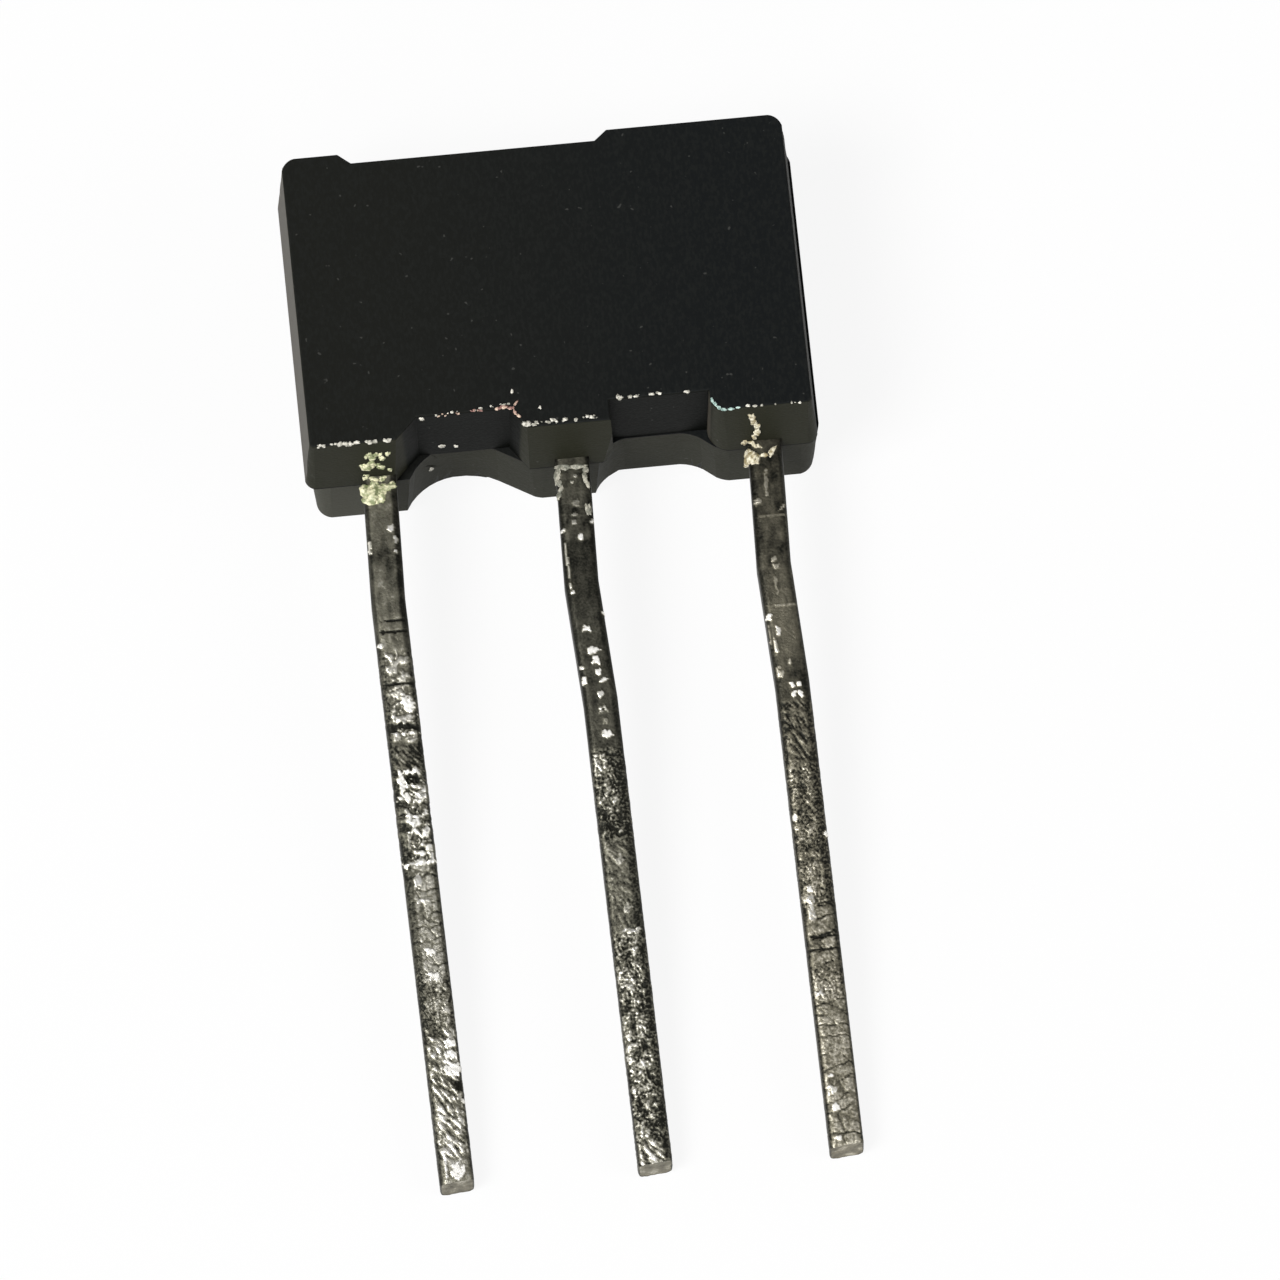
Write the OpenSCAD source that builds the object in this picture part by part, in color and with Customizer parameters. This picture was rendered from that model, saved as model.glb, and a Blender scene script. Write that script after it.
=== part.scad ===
// Small three-lead transistor in a flat moulded package.
// It lies on its back: the back face is on z = 0 and the front face looks up.
// The leads run towards -y and dip, so that their tips touch the same surface.
// The origin lies on the back face, in the middle of the front half's outline.
// Units are millimetres and degrees.

/* [Body] */
// Width of the body across the leads, at the parting line
body_w = 6.76; // [6.6:0.02:8]
// Height of the body from the lead side to the top, at the parting line
body_h = 4.28; // [4:0.02:6]
// Thickness of the body from the back face to the front face
body_t = 2.5; // [2.3:0.1:3.5]
// Draft of the outer walls, away from the parting line
wall_draft = 3.5; // [1:0.5:6]
// Draft of the pockets between the feet
pocket_draft = 1.5; // [0.5:0.5:3.5]
// Radius of the top corners at the parting line
top_corner_r = 0.29; // [0.2:0.01:0.5]
// Radius of the front half's corners on the lead side, at the parting line
front_corner_r = 0.16; // [0.14:0.01:0.4]
// Radius of the back half's corners on the lead side, at the parting line
foot_corner_r = 0.3; // [0.2:0.01:0.5]
// How far the back half's outline stands inside the front half's
mould_step = 0.02; // [0.01:0.01:0.05]
// How far the mould's halves were out of line, the back half to the right
mould_shift = 0.05; // [0:0.01:0.08]

/* [Front half] */
// Depth of the shallow notch in the top edge
notch_depth = 0.14; // [0.08:0.01:0.3]
// Width of the notch's floor
notch_w = 3.16; // [2:0.02:3.4]
// How far the notch's middle lies to the left of the body's middle
notch_offset = 0.78; // [0.4:0.01:0.9]
// Slope of the notch's two ends
notch_slope = 40; // [20:5:70]
// Width of the middle foot, which the centre lead leaves through
tab_w = 1.12; // [0.9:0.02:1.3]
// Radius of the middle foot's right corner at the parting line
tab_corner_r = 0.3; // [0.26:0.01:0.33]
// Angle at which that corner gets sharper towards the front face
tab_corner_taper = 10; // [3:1:10]
// Slope of the middle foot's left wall
tab_slope = 55; // [45:5:80]
// Depth of the pocket on the left of the middle foot
left_pocket_depth = 0.34; // [0.2:0.01:0.5]
// Depth of the pocket on the right of the middle foot
right_pocket_depth = 0.33; // [0.28:0.01:0.5]
// How far the left foot's end reaches past the middle of its lead
left_foot_past = 0.21; // [0.15:0.01:0.4]
// Slope of the left foot's inner wall
left_foot_slope = 45; // [40:5:80]
// How far the right foot reaches past the middle of its lead
right_foot_past = 0.73; // [0.5:0.01:0.8]
// Radius of the right foot's inner corner at the parting line
right_foot_r = 0.3; // [0.2:0.01:0.4]
// Angle at which that corner gets sharper towards the front face
right_foot_taper = 5; // [3:1:7]

/* [Back half] */
// Rise of the left arch's crown over the lead side
left_arch_rise = 0.415; // [0.38:0.005:0.5]
// Distance from the centre lead to the left arch's end beside it
left_arch_near = 0.47; // [0.4:0.01:0.6]
// Slope of that end
left_near_slope = 31; // [25:1:45]
// Radius between that end and the crown
left_near_r = 1.1; // [0.3:0.05:1.15]
// Distance from the centre lead to the left arch's far end
left_arch_far = 2.14; // [2:0.01:2.2]
// Slope of the far end
left_far_slope = 57; // [45:1:65]
// Radius between the far end and the crown
left_far_r = 0.75; // [0.3:0.05:0.75]
// Rise of the right arch's crown over the lead side
right_arch_rise = 0.295; // [0.28:0.005:0.4]
// Distance from the centre lead to the right arch's end beside it
right_arch_near = 0.36; // [0.34:0.01:0.5]
// Slope of that end
right_near_slope = 65; // [55:1:75]
// Radius between that end and the crown
right_near_r = 0.45; // [0.1:0.05:0.45]
// Distance from the centre lead to the right arch's far end
right_arch_far = 1.96; // [1.7:0.01:2]
// Slope of the far end
right_far_slope = 39; // [30:1:50]
// Radius between the far end and the crown
right_far_r = 0.6; // [0.2:0.05:0.6]
// Radius of the feet that stand free between two leads
open_foot_r = 0.5; // [0.2:0.05:0.6]
// Radius of the feet that end beside a lead
lead_foot_r = 0.1; // [0.05:0.01:0.12]

/* [Leads] */
// Distance between neighbouring leads
lead_pitch = 2.54; // [2.5:0.01:2.6]
// Width of a lead
lead_w = 0.45; // [0.4:0.01:0.55]
// Thickness of the strip that the leads are stamped from
lead_t = 0.45; // [0.35:0.01:0.5]
// How far the lead frame sits to the right of the body's middle
frame_shift = 0.13; // [0:0.01:0.2]
// How far a lead reaches out of the body
lead_reach = 9.57; // [8:0.01:14]
// Straight stretch of a lead before it bends down
lead_straight = 0.8; // [0.4:0.1:1.5]
// Radius of the bend that brings the tips down to the surface
lead_bend_r = 12; // [6:1:14]

/* [Inside] */
// Width of the die pad
pad_w = 2.2; // [1.6:0.1:2.4]
// Height of the die pad
pad_h = 2.3; // [1.8:0.1:2.4]
// Distance from the body's top down to the die pad
pad_below_top = 0.45; // [0.3:0.05:0.6]
// Diameter of the hole that locks the pad into the moulding
lock_hole_d = 0.5; // [0.3:0.05:0.6]
// Side of the square silicon die
die_side = 1; // [0.5:0.05:1.2]
// Thickness of the silicon die
die_t = 0.28; // [0.15:0.01:0.35]
// Thickness of the solder that holds the die to its pad
solder_t = 0.03; // [0.02:0.005:0.06]
// How far the solder shows round the die
solder_rim = 0.04; // [0.02:0.01:0.1]
// Width of the bonding posts on the outer leads
post_w = 1; // [0.8:0.05:1.1]
// Height of the bonding posts on the outer leads
post_h = 0.9; // [0.6:0.05:1.2]
// Distance from the lead side up to the bonding posts
post_above_side = 0.95; // [0.7:0.05:1.1]
// Diameter of the bond wires
wire_d = 0.05; // [0.03:0.005:0.08]
// Rise of each wire's loop over the line between its ends
wire_rise = 0.55; // [0.35:0.05:0.65]

/* [Hidden] */
$fn = 64;

half_t = body_t / 2;         // each half of the mould makes this much
side_y = -body_h / 2;        // the lead side of the body
top_y = body_h / 2;
far = 30;                    // larger than the body in every direction
past = 0.5;                  // how far a cutter runs past what it cuts
crossing = 0.004;            // rounded corners cross their walls by this much

// Each lead's middle
emitter_x = frame_shift - lead_pitch;
collector_x = frame_shift;
base_x = frame_shift + lead_pitch;

// Where a lead's edge turns, from the body outwards, and how far its middle
// has been bent to the right at each of these places
stations = [0, 1.7, 3.3, lead_reach];
emitter_bow = [0, -0.045, -0.015, 0.1];
collector_bow = [0, -0.042, 0.05, 0.15];
base_bow = [0, -0.05, 0.03, 0.115];
tip_skew = 0.04;             // the cutters left each tip this much out of square

// Slope of a lead after its bend: its lower edge then meets z = 0 at the tip
bend_run = lead_reach - lead_straight;
bend_height = lead_bend_r - half_t;
lead_slope = atan2(bend_run, bend_height)
           - acos((lead_bend_r - lead_t / 2) / norm([bend_run, bend_height]));
bend_steps = 10;

// Levels inside the body
strip_front = half_t + lead_t / 2;
die_back = strip_front + solder_t;
die_front = die_back + die_t;
pad_top = top_y - pad_below_top;
pad_middle = pad_top - pad_h / 2;
shoulder = 0.3;              // slope of the strip where it widens
post_lip = 0.07;             // the posts reach this far past the leads' outer edges
post_outer = lead_w / 2 + post_lip;
post_inner = post_w - post_outer;
post_bottom = side_y + post_above_side;
post_top = post_bottom + post_h;
lock_notch = 0.12;           // notch in the pad's sides, filled by the moulding

// Places of the bonds
ball_d = 3 * wire_d;
ball_h = wire_d;
stitch_d = 2.6 * wire_d;
bond_inset = 0.3;            // from a bonding post's inner and top edges
emitter_bond = [-0.22, -0.18];   // from the die's middle, as parts of its side
base_bond = [0.25, 0.1];
emitter_ball = [collector_x + emitter_bond.x * die_side,
                pad_middle + emitter_bond.y * die_side, die_front];
base_ball = [collector_x + base_bond.x * die_side,
             pad_middle + base_bond.y * die_side, die_front];
emitter_stitch = [emitter_x + post_inner - bond_inset, post_top - bond_inset, strip_front];
base_stitch = [base_x - post_inner + bond_inset, post_top - bond_inset, strip_front];

// ---- Moulded body ----

// Everything behind a wall that passes through point at, on the plane z = 0.
// The wall faces the angle facing and leans back by draft as z grows.
module behind_wall(at, facing, draft) {
    translate([at.x, at.y, 0]) rotate([0, 0, facing]) rotate([0, -draft, 0])
        translate([-far, -far / 2, -far / 2]) cube(far);
}

// A cone round the z axis that is r wide at z = level and tapers by draft
module drafted_cone(r, level, draft, from, to) {
    slope = tan(draft);
    translate([0, 0, from]) cylinder(
        h = to - from,
        r1 = max(0.02, r + (level - from) * slope),
        r2 = max(0.02, r + (level - to) * slope));
}

// What rounding takes off an upright corner of one mould half. corner is the
// sharp corner on z = 0 and out holds the signs of its two outward directions.
// The end wall and the side wall may have different drafts, and the rounding
// gets sharper by taper as z grows.
module corner_waste(corner, out, r, side_draft, end_draft, taper) {
    reach = r + past;
    translate([corner.x - out.x * r, corner.y - out.y * r, 0])
        rotate([out.y * (end_draft - taper), out.x * (taper - side_draft), 0])
            difference() {
                translate([out.x > 0 ? 0 : -reach, out.y > 0 ? 0 : -reach, -past])
                    cube([reach, reach, half_t + 2 * past]);
                drafted_cone(r + crossing, 0, taper, -2 * past, half_t + 2 * past);
            }
}

// What rounding takes off the corner between two walls that face the angles a
// and b and lean back by draft. The walls meet at corner on z = 0.
module bend_waste(corner, a, b, r, draft) {
    middle = (direction(a) + direction(b)) / (1 + cos(b - a));
    centre = corner - r * middle;
    reach = r + past;
    difference() {
        translate([0, 0, -past]) linear_extrude(height = half_t + 2 * past)
            polygon([centre, centre + reach * direction(a),
                     centre + reach * middle, centre + reach * direction(b)]);
        translate([centre.x, centre.y, 0])
            drafted_cone(r + crossing, 0, draft, -2 * past, half_t + 2 * past);
    }
}

function direction(angle) = [cos(angle), sin(angle)];

// One half of the moulding as a plain drafted block with rounded top corners
module half_block(w, bottom, top) {
    difference() {
        intersection() {
            translate([-far / 2, -far / 2, 0]) cube([far, far, half_t]);
            behind_wall([w / 2, 0], 0, wall_draft);
            behind_wall([0, top], 90, wall_draft);
            behind_wall([-w / 2, 0], 180, wall_draft);
            behind_wall([0, bottom], 270, wall_draft);
        }
        for (side = [-1, 1])
            corner_waste([side * w / 2, top], [side, 1], top_corner_r,
                         wall_draft, wall_draft, wall_draft);
    }
}

// Shallow notch in the top edge, with sloping ends
module top_notch() {
    floor_y = top_y - notch_depth;
    intersection() {
        translate([-far / 2, 0, -past]) cube([far, far / 2, half_t + 2 * past]);
        behind_wall([0, floor_y], 270, -wall_draft);
        behind_wall([-notch_offset - notch_w / 2, floor_y], 270 - notch_slope, -wall_draft);
        behind_wall([-notch_offset + notch_w / 2, floor_y], 270 + notch_slope, -wall_draft);
    }
}

// Pocket between the left foot and the middle foot
module left_pocket() {
    intersection() {
        translate([-far / 2, -far / 2, -past]) cube([far, far, half_t + 2 * past]);
        behind_wall([0, side_y + left_pocket_depth], 90, -pocket_draft);
        behind_wall([emitter_x + left_foot_past, side_y], 90 + left_foot_slope, -pocket_draft);
        behind_wall([collector_x - tab_w / 2, side_y], 90 - tab_slope, -pocket_draft);
    }
}

// Pocket between the middle foot and the right foot
module right_pocket() {
    intersection() {
        translate([-far / 2, -far / 2, -past]) cube([far, far, half_t + 2 * past]);
        behind_wall([0, side_y + right_pocket_depth], 90, -pocket_draft);
        behind_wall([collector_x + tab_w / 2, 0], 180, -pocket_draft);
        behind_wall([base_x - right_foot_past, 0], 0, -pocket_draft);
    }
}

module front_half() {
    difference() {
        half_block(body_w, side_y, top_y);
        top_notch();
        left_pocket();
        right_pocket();
        for (side = [-1, 1])
            corner_waste([side * body_w / 2, side_y], [side, -1], front_corner_r,
                         wall_draft, wall_draft, wall_draft);
        corner_waste([collector_x + tab_w / 2, side_y], [1, -1],
                     tab_corner_r, pocket_draft, wall_draft, tab_corner_taper);
        corner_waste([base_x - right_foot_past, side_y], [-1, -1],
                     right_foot_r, pocket_draft, wall_draft, right_foot_taper);
    }
}

// One arch of the back half, cut from the lead side, which lies at the height
// bottom. Its ends meet the lead side at x = left and x = right and slope up to
// a level crown, into which they bend with the radii left_r and right_r.
module arch(bottom, rise, left, left_slope, left_r, right, right_slope, right_r) {
    crown = bottom + rise;
    difference() {
        intersection() {
            translate([-far / 2, -far / 2, -past]) cube([far, far, half_t + 2 * past]);
            behind_wall([0, crown], 90, -wall_draft);
            behind_wall([left, bottom], 90 + left_slope, -wall_draft);
            behind_wall([right, bottom], 90 - right_slope, -wall_draft);
        }
        bend_waste([left + rise / tan(left_slope), crown],
                   90, 90 + left_slope, left_r, -wall_draft);
        bend_waste([right - rise / tan(right_slope), crown],
                   90, 90 - right_slope, right_r, -wall_draft);
    }
}

// What rounding takes off the two feet beside an arch
module feet_waste(bottom, left, left_slope, left_r, right, right_slope, right_r) {
    bend_waste([left, bottom], 270, 270 + left_slope, left_r, wall_draft);
    bend_waste([right, bottom], 270, 270 - right_slope, right_r, wall_draft);
}

module back_half() {
    w = body_w - 2 * mould_step;
    bottom = side_y + mould_step;
    difference() {
        translate([mould_shift, 0, 0]) difference() {
            half_block(w, bottom, top_y - mould_step);
            for (side = [-1, 1])
                corner_waste([side * w / 2, bottom], [side, -1], foot_corner_r,
                             wall_draft, wall_draft, wall_draft);
        }
        arch(bottom, left_arch_rise,
             collector_x - left_arch_far, left_far_slope, left_far_r,
             collector_x - left_arch_near, left_near_slope, left_near_r);
        feet_waste(bottom,
                   collector_x - left_arch_far, left_far_slope, lead_foot_r,
                   collector_x - left_arch_near, left_near_slope, open_foot_r);
        arch(bottom, right_arch_rise,
             collector_x + right_arch_near, right_near_slope, right_near_r,
             collector_x + right_arch_far, right_far_slope, right_far_r);
        feet_waste(bottom,
                   collector_x + right_arch_near, right_near_slope, lead_foot_r,
                   collector_x + right_arch_far, right_far_slope, open_foot_r);
    }
}

// The moulding fits round the leads, the die and the wires without a gap
module epoxy_body() {
    color([0.13, 0.135, 0.13]) difference() {
        translate([0, 0, half_t]) {
            front_half();
            mirror([0, 0, 1]) back_half();
        }
        emitter_lead();
        collector_lead();
        base_lead();
        die_solder();
        silicon_die();
        emitter_wire();
        base_wire();
    }
}

// ---- Leads ----

// One face of the strip in side view, from the body's top to past the tips, at
// the distance r from the middle of its bend. Points are [y, z].
function strip_face(r) = [
    [top_y, half_t - lead_bend_r + r],
    for (i = [0 : bend_steps])
        let (a = lead_slope * i / bend_steps)
        [side_y - lead_straight - r * sin(a), half_t - lead_bend_r + r * cos(a)],
    [side_y - lead_straight - r * sin(lead_slope) - lead_reach * cos(lead_slope),
     half_t - lead_bend_r + r * cos(lead_slope) - lead_reach * sin(lead_slope)]
];

function backwards(list) = [for (i = [len(list) - 1 : -1 : 0]) list[i]];

// The strip before stamping, bent down outside the body
module bent_strip() {
    rotate([90, 0, 90]) linear_extrude(height = far, center = true)
        polygon(concat(strip_face(lead_bend_r + lead_t / 2),
                       backwards(strip_face(lead_bend_r - lead_t / 2))));
}

// One edge of a lead outside the body, from the body to the tip
function lead_edge(x, bow, side) = [
    for (i = [0 : len(stations) - 1])
        [x + bow[i] + side * lead_w / 2,
         side_y - stations[i] + (i == len(stations) - 1 && side > 0 ? tip_skew : 0)]
];

// A lead stamped from the strip. inner is its outline inside the body, from
// the lead's right edge round to its left edge.
module stamped_lead(x, bow, inner) {
    intersection() {
        bent_strip();
        translate([0, 0, -past]) linear_extrude(height = body_t + 2 * past)
            polygon(concat(inner, lead_edge(x, bow, -1), backwards(lead_edge(x, bow, 1))));
    }
}

// Outline of a bonding post that grows inwards from its lead. inwards is the
// sign of the direction to the body's middle.
function post_outline(x, inwards) =
    let (points = [
        [x - inwards * lead_w / 2, post_bottom - post_lip],
        [x - inwards * post_outer, post_bottom],
        [x - inwards * post_outer, post_top],
        [x + inwards * post_inner, post_top],
        [x + inwards * post_inner, post_bottom],
        [x + inwards * lead_w / 2, post_bottom - shoulder]])
    inwards < 0 ? points : backwards(points);

module emitter_lead() {
    color([0.7, 0.69, 0.65])
        stamped_lead(emitter_x, emitter_bow, post_outline(emitter_x, 1));
}

module base_lead() {
    color([0.7, 0.69, 0.65])
        stamped_lead(base_x, base_bow, post_outline(base_x, -1));
}

// The centre lead and the die pad are one stamping
module collector_lead() {
    pad_bottom = pad_top - pad_h;
    notch_y = pad_middle;
    right = [
        [lead_w / 2, pad_bottom - shoulder],
        [lead_w / 2 + shoulder, pad_bottom],
        [pad_w / 2, pad_bottom],
        [pad_w / 2, notch_y - lock_notch],
        [pad_w / 2 - lock_notch, notch_y],
        [pad_w / 2, notch_y + lock_notch],
        [pad_w / 2, pad_top]];
    left = [for (p = backwards(right)) [-p.x, p.y]];
    color([0.7, 0.69, 0.65]) difference() {
        stamped_lead(collector_x, collector_bow,
                     [for (p = concat(right, left)) [p.x + collector_x, p.y]]);
        translate([collector_x, pad_top - lock_hole_d, 0])
            cylinder(h = body_t, d = lock_hole_d);
    }
}

// ---- Die and wires ----

module square_plate(side, z, t) {
    translate([collector_x - side / 2, pad_middle - side / 2, z]) cube([side, side, t]);
}

module die_solder() {
    color([0.62, 0.62, 0.6]) square_plate(die_side + 2 * solder_rim, strip_front, solder_t);
}

module silicon_die() {
    color([0.36, 0.38, 0.42]) square_plate(die_side, die_back, die_t);
}

// A bond wire: a ball on the die, a loop, and a stitch on the post. The loop is
// an arc in the upright plane through both bonds.
module bond_wire(ball, stitch) {
    start = [ball.x, ball.y, ball.z + ball_h / 2];
    end = [stitch.x, stitch.y, stitch.z + wire_d / 2];
    span = norm([end.x - start.x, end.y - start.y]);
    drop = start.z - end.z;
    chord = norm([span, drop]);
    r = (chord * chord / 4 + wire_rise * wire_rise) / (2 * wire_rise);
    depth = r - wire_rise;
    // the loop's centre, measured along the span and upwards from the ball
    mid_u = span / 2 - drop / chord * depth;
    mid_v = -drop / 2 - span / chord * depth;
    from = atan2(-drop - mid_v, span - mid_u);
    to = atan2(-mid_v, -mid_u);
    color([0.85, 0.65, 0.25]) {
        translate(ball) cylinder(h = ball_h, d = ball_d);
        translate(stitch) cylinder(h = wire_d, d = stitch_d);
        translate(start) rotate([0, 0, atan2(end.y - start.y, end.x - start.x)])
            rotate([90, 0, 0]) translate([mid_u, mid_v, 0]) rotate([0, 0, from])
                rotate_extrude(angle = to - from)
                    translate([r, 0]) circle(d = wire_d, $fn = 24);
    }
}

module emitter_wire() { bond_wire(emitter_ball, emitter_stitch); }

module base_wire() { bond_wire(base_ball, base_stitch); }

epoxy_body();
emitter_lead();
collector_lead();
base_lead();
silicon_die();
die_solder();
emitter_wire();
base_wire();
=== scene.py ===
"""Looks of a small three-lead transistor that lies on its back.

The moulding, the leads, the die and the wires come from the frame. This script
softens the moulding's edges, gives each lead its crinkled tin plating, adds the
chips of flash on the moulding's edges, pale lumps that paint a highlight round
one corner and the residue round the leads' roots, paints light and shade into
some colours of the moulding and the leads, and sets the camera and the light.
Lengths are metres; sizes are written as millimetres times MM.
"""

import logging
import math
import random
from dataclasses import dataclass, field
from enum import Enum
from typing import Callable

import bmesh
import bpy
from mathutils import Matrix, Vector, noise
from mathutils.bvhtree import BVHTree


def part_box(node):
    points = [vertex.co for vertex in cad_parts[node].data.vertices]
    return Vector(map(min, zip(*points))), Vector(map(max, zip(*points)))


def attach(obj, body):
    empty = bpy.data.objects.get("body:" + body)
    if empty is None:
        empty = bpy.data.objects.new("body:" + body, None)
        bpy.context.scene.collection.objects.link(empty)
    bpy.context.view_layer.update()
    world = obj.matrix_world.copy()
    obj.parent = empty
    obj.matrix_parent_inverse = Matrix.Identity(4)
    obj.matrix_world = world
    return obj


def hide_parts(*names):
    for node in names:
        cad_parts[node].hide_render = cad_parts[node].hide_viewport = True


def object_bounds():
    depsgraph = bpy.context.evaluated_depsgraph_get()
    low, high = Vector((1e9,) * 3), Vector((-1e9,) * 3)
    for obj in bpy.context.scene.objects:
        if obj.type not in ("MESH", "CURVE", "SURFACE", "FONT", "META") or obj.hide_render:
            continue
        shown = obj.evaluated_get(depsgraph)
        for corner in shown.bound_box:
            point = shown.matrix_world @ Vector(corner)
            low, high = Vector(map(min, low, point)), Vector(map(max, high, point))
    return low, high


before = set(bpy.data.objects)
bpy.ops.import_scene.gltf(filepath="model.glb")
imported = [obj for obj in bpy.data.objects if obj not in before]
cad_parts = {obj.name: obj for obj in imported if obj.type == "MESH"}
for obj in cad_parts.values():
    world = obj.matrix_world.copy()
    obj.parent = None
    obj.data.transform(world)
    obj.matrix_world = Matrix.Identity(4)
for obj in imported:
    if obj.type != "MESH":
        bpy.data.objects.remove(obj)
CAD_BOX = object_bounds()

MM = 0.001
SAME_PLACE = 1e-4 * MM
BODY_LOW, BODY_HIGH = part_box("epoxy_body")
LEAD_SIDE = BODY_LOW.y
PARTING = (BODY_LOW.z + BODY_HIGH.z) / 2
LOG = logging.getLogger("transistor")

Colour = tuple[float, float, float]
Span = tuple[float, float]
Waves = tuple[float, float, Colour]


# ---- Shader graphs ----


class Wire:
    """A socket of a shader graph. Arithmetic on it adds Math nodes."""

    def __init__(self, graph: "Graph", socket: bpy.types.NodeSocket | None) -> None:
        """Keep the socket with its graph. An output node gives no socket."""
        self.graph = graph
        self.socket = socket

    def math(self, operation: str, *values: "Value") -> "Wire":
        """Add one Math node to the graph.

        Args:
            operation: Blender's name for the operation.
            values: What goes into its sockets, in order.

        Returns:
            The node's result.
        """
        sockets = dict(enumerate(values))
        return self.graph.node("ShaderNodeMath", {"operation": operation}, sockets)

    def __add__(self, other: "Value") -> "Wire":
        """This value plus the other."""
        return self.math("ADD", self, other)

    __radd__ = __add__

    def __sub__(self, other: "Value") -> "Wire":
        """This value minus the other."""
        return self.math("SUBTRACT", self, other)

    def __rsub__(self, other: "Value") -> "Wire":
        """The other value minus this one."""
        return self.math("SUBTRACT", other, self)

    def __mul__(self, other: "Value") -> "Wire":
        """This value times the other."""
        return self.math("MULTIPLY", self, other)

    __rmul__ = __mul__

    def __abs__(self) -> "Wire":
        """This value without its sign."""
        return self.math("ABSOLUTE", self)

    def fade(self, start: float, end: float) -> "Wire":
        """Rise smoothly from 0 where the value is start to 1 where it is end.

        Args:
            start: The value that gives 0.
            end: The value that gives 1, above or below start.

        Returns:
            The risen value, between 0 and 1.
        """
        if start > end:
            return 1 - self.fade(end, start)
        settings = {"interpolation_type": "SMOOTHSTEP"}
        sockets = {"Value": self, "From Min": start, "From Max": end}
        return self.graph.node("ShaderNodeMapRange", settings, sockets)


Value = Wire | float


class Graph:
    """The node graph of one material or world."""

    def __init__(self, owner: "bpy.types.Material | bpy.types.World") -> None:
        """Clear the owner's nodes and start its graph.

        Args:
            owner: The material or world that gets the graph.
        """
        self.owner = owner
        owner.use_nodes = True
        self.tree = owner.node_tree
        self.tree.nodes.clear()

    def node(self, kind: str, settings: dict | None = None, sockets: dict | None = None,
             output: int | str = 0) -> Wire:
        """Add a node, set it and wire it.

        Args:
            kind: The node's type.
            settings: Its properties, with a ramp's stops under "stops".
            sockets: Values or wires for its input sockets, by name or index.
            output: The output socket that is wanted.

        Returns:
            The wire that leaves the output socket.
        """
        made = self.tree.nodes.new(kind)
        for name, value in (settings or {}).items():
            if name == "stops":
                self._set_stops(made.color_ramp, value)
            else:
                setattr(made, name, value)
        for key, value in (sockets or {}).items():
            if isinstance(value, Wire):
                self.tree.links.new(value.socket, made.inputs[key])
            else:
                made.inputs[key].default_value = value
        return Wire(self, made.outputs[output] if made.outputs else None)

    @staticmethod
    def _set_stops(ramp: bpy.types.ColorRamp, stops: list[tuple[float, Colour]]) -> None:
        """Give a colour ramp its stops.

        Args:
            ramp: The ramp.
            stops: Where each colour lies on it, from 0 to 1, and the colour.
        """
        while len(ramp.elements) < len(stops):
            ramp.elements.new(0.5)
        for element, (position, colour) in zip(ramp.elements, stops):
            element.position = position
            element.color = (*colour, 1)

    def place(self, stretch: Colour = (1, 1, 1)) -> Wire:
        """Find the place on the object.

        Args:
            stretch: What each axis is multiplied by.

        Returns:
            The place in millimetres, times stretch.
        """
        here = self.node("ShaderNodeTexCoord", output="Object")
        scale = tuple(part / MM for part in stretch)
        return self.node("ShaderNodeVectorMath", {"operation": "MULTIPLY"}, {0: here, 1: scale})

    def noise(self, per_mm: float, detail: float = 2, stretch: Colour = (1, 1, 1)) -> Wire:
        """Return noise from 0 to 1 with per_mm waves in a millimetre."""
        sockets = {"Vector": self.place(stretch), "Scale": per_mm, "Detail": detail}
        return self.node("ShaderNodeTexNoise", None, sockets)

    def part_of(self, vector: Wire, axis: str) -> Wire:
        """Return one component, X, Y or Z, of a vector."""
        return self.node("ShaderNodeSeparateXYZ", None, {0: vector}, axis)

    def mix(self, amount: Value, first: "Wire | Colour", second: "Wire | Colour") -> Wire:
        """Blend two colours.

        Args:
            amount: 0 gives the first colour and 1 the second.
            first: The first colour.
            second: The second colour.

        Returns:
            The blended colour.
        """
        ends = [end if isinstance(end, Wire) else (*end, 1) for end in (first, second)]
        sockets = {0: amount, 6: ends[0], 7: ends[1]}
        return self.node("ShaderNodeMix", {"data_type": "RGBA"}, sockets, 2)

    def bump(self, height: Wire, depth: float, under: Wire | None = None) -> Wire:
        """Turn a height into a relief.

        Args:
            height: The height, from 0 to 1.
            depth: How deep the relief is, in metres.
            under: The normal of the relief that this one lies on.

        Returns:
            The relief's normal.
        """
        sockets = {"Height": height, "Distance": depth}
        if under:
            sockets["Normal"] = under
        return self.node("ShaderNodeBump", None, sockets)

    def surface(self, **sockets: "Value | Colour") -> bpy.types.Material:
        """Finish the material with one Principled shader.

        Args:
            sockets: The shader's inputs, with underscores for spaces.

        Returns:
            The finished material.
        """
        named = {}
        for name, value in sockets.items():
            full = isinstance(value, tuple) and len(value) == 3
            named[name.replace("_", " ")] = (*value, 1) if full else value
        shader = self.node("ShaderNodeBsdfPrincipled", None, named)
        return self.close(shader)

    def close(self, shader: Wire) -> bpy.types.Material:
        """Wire a shader to the material's output and return the material."""
        self.node("ShaderNodeOutputMaterial", None, {"Surface": shader})
        return self.owner


def material_graph(name: str) -> Graph:
    """Return the graph of a new material."""
    return Graph(bpy.data.materials.new(name))


# ---- Finishes ----


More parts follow.
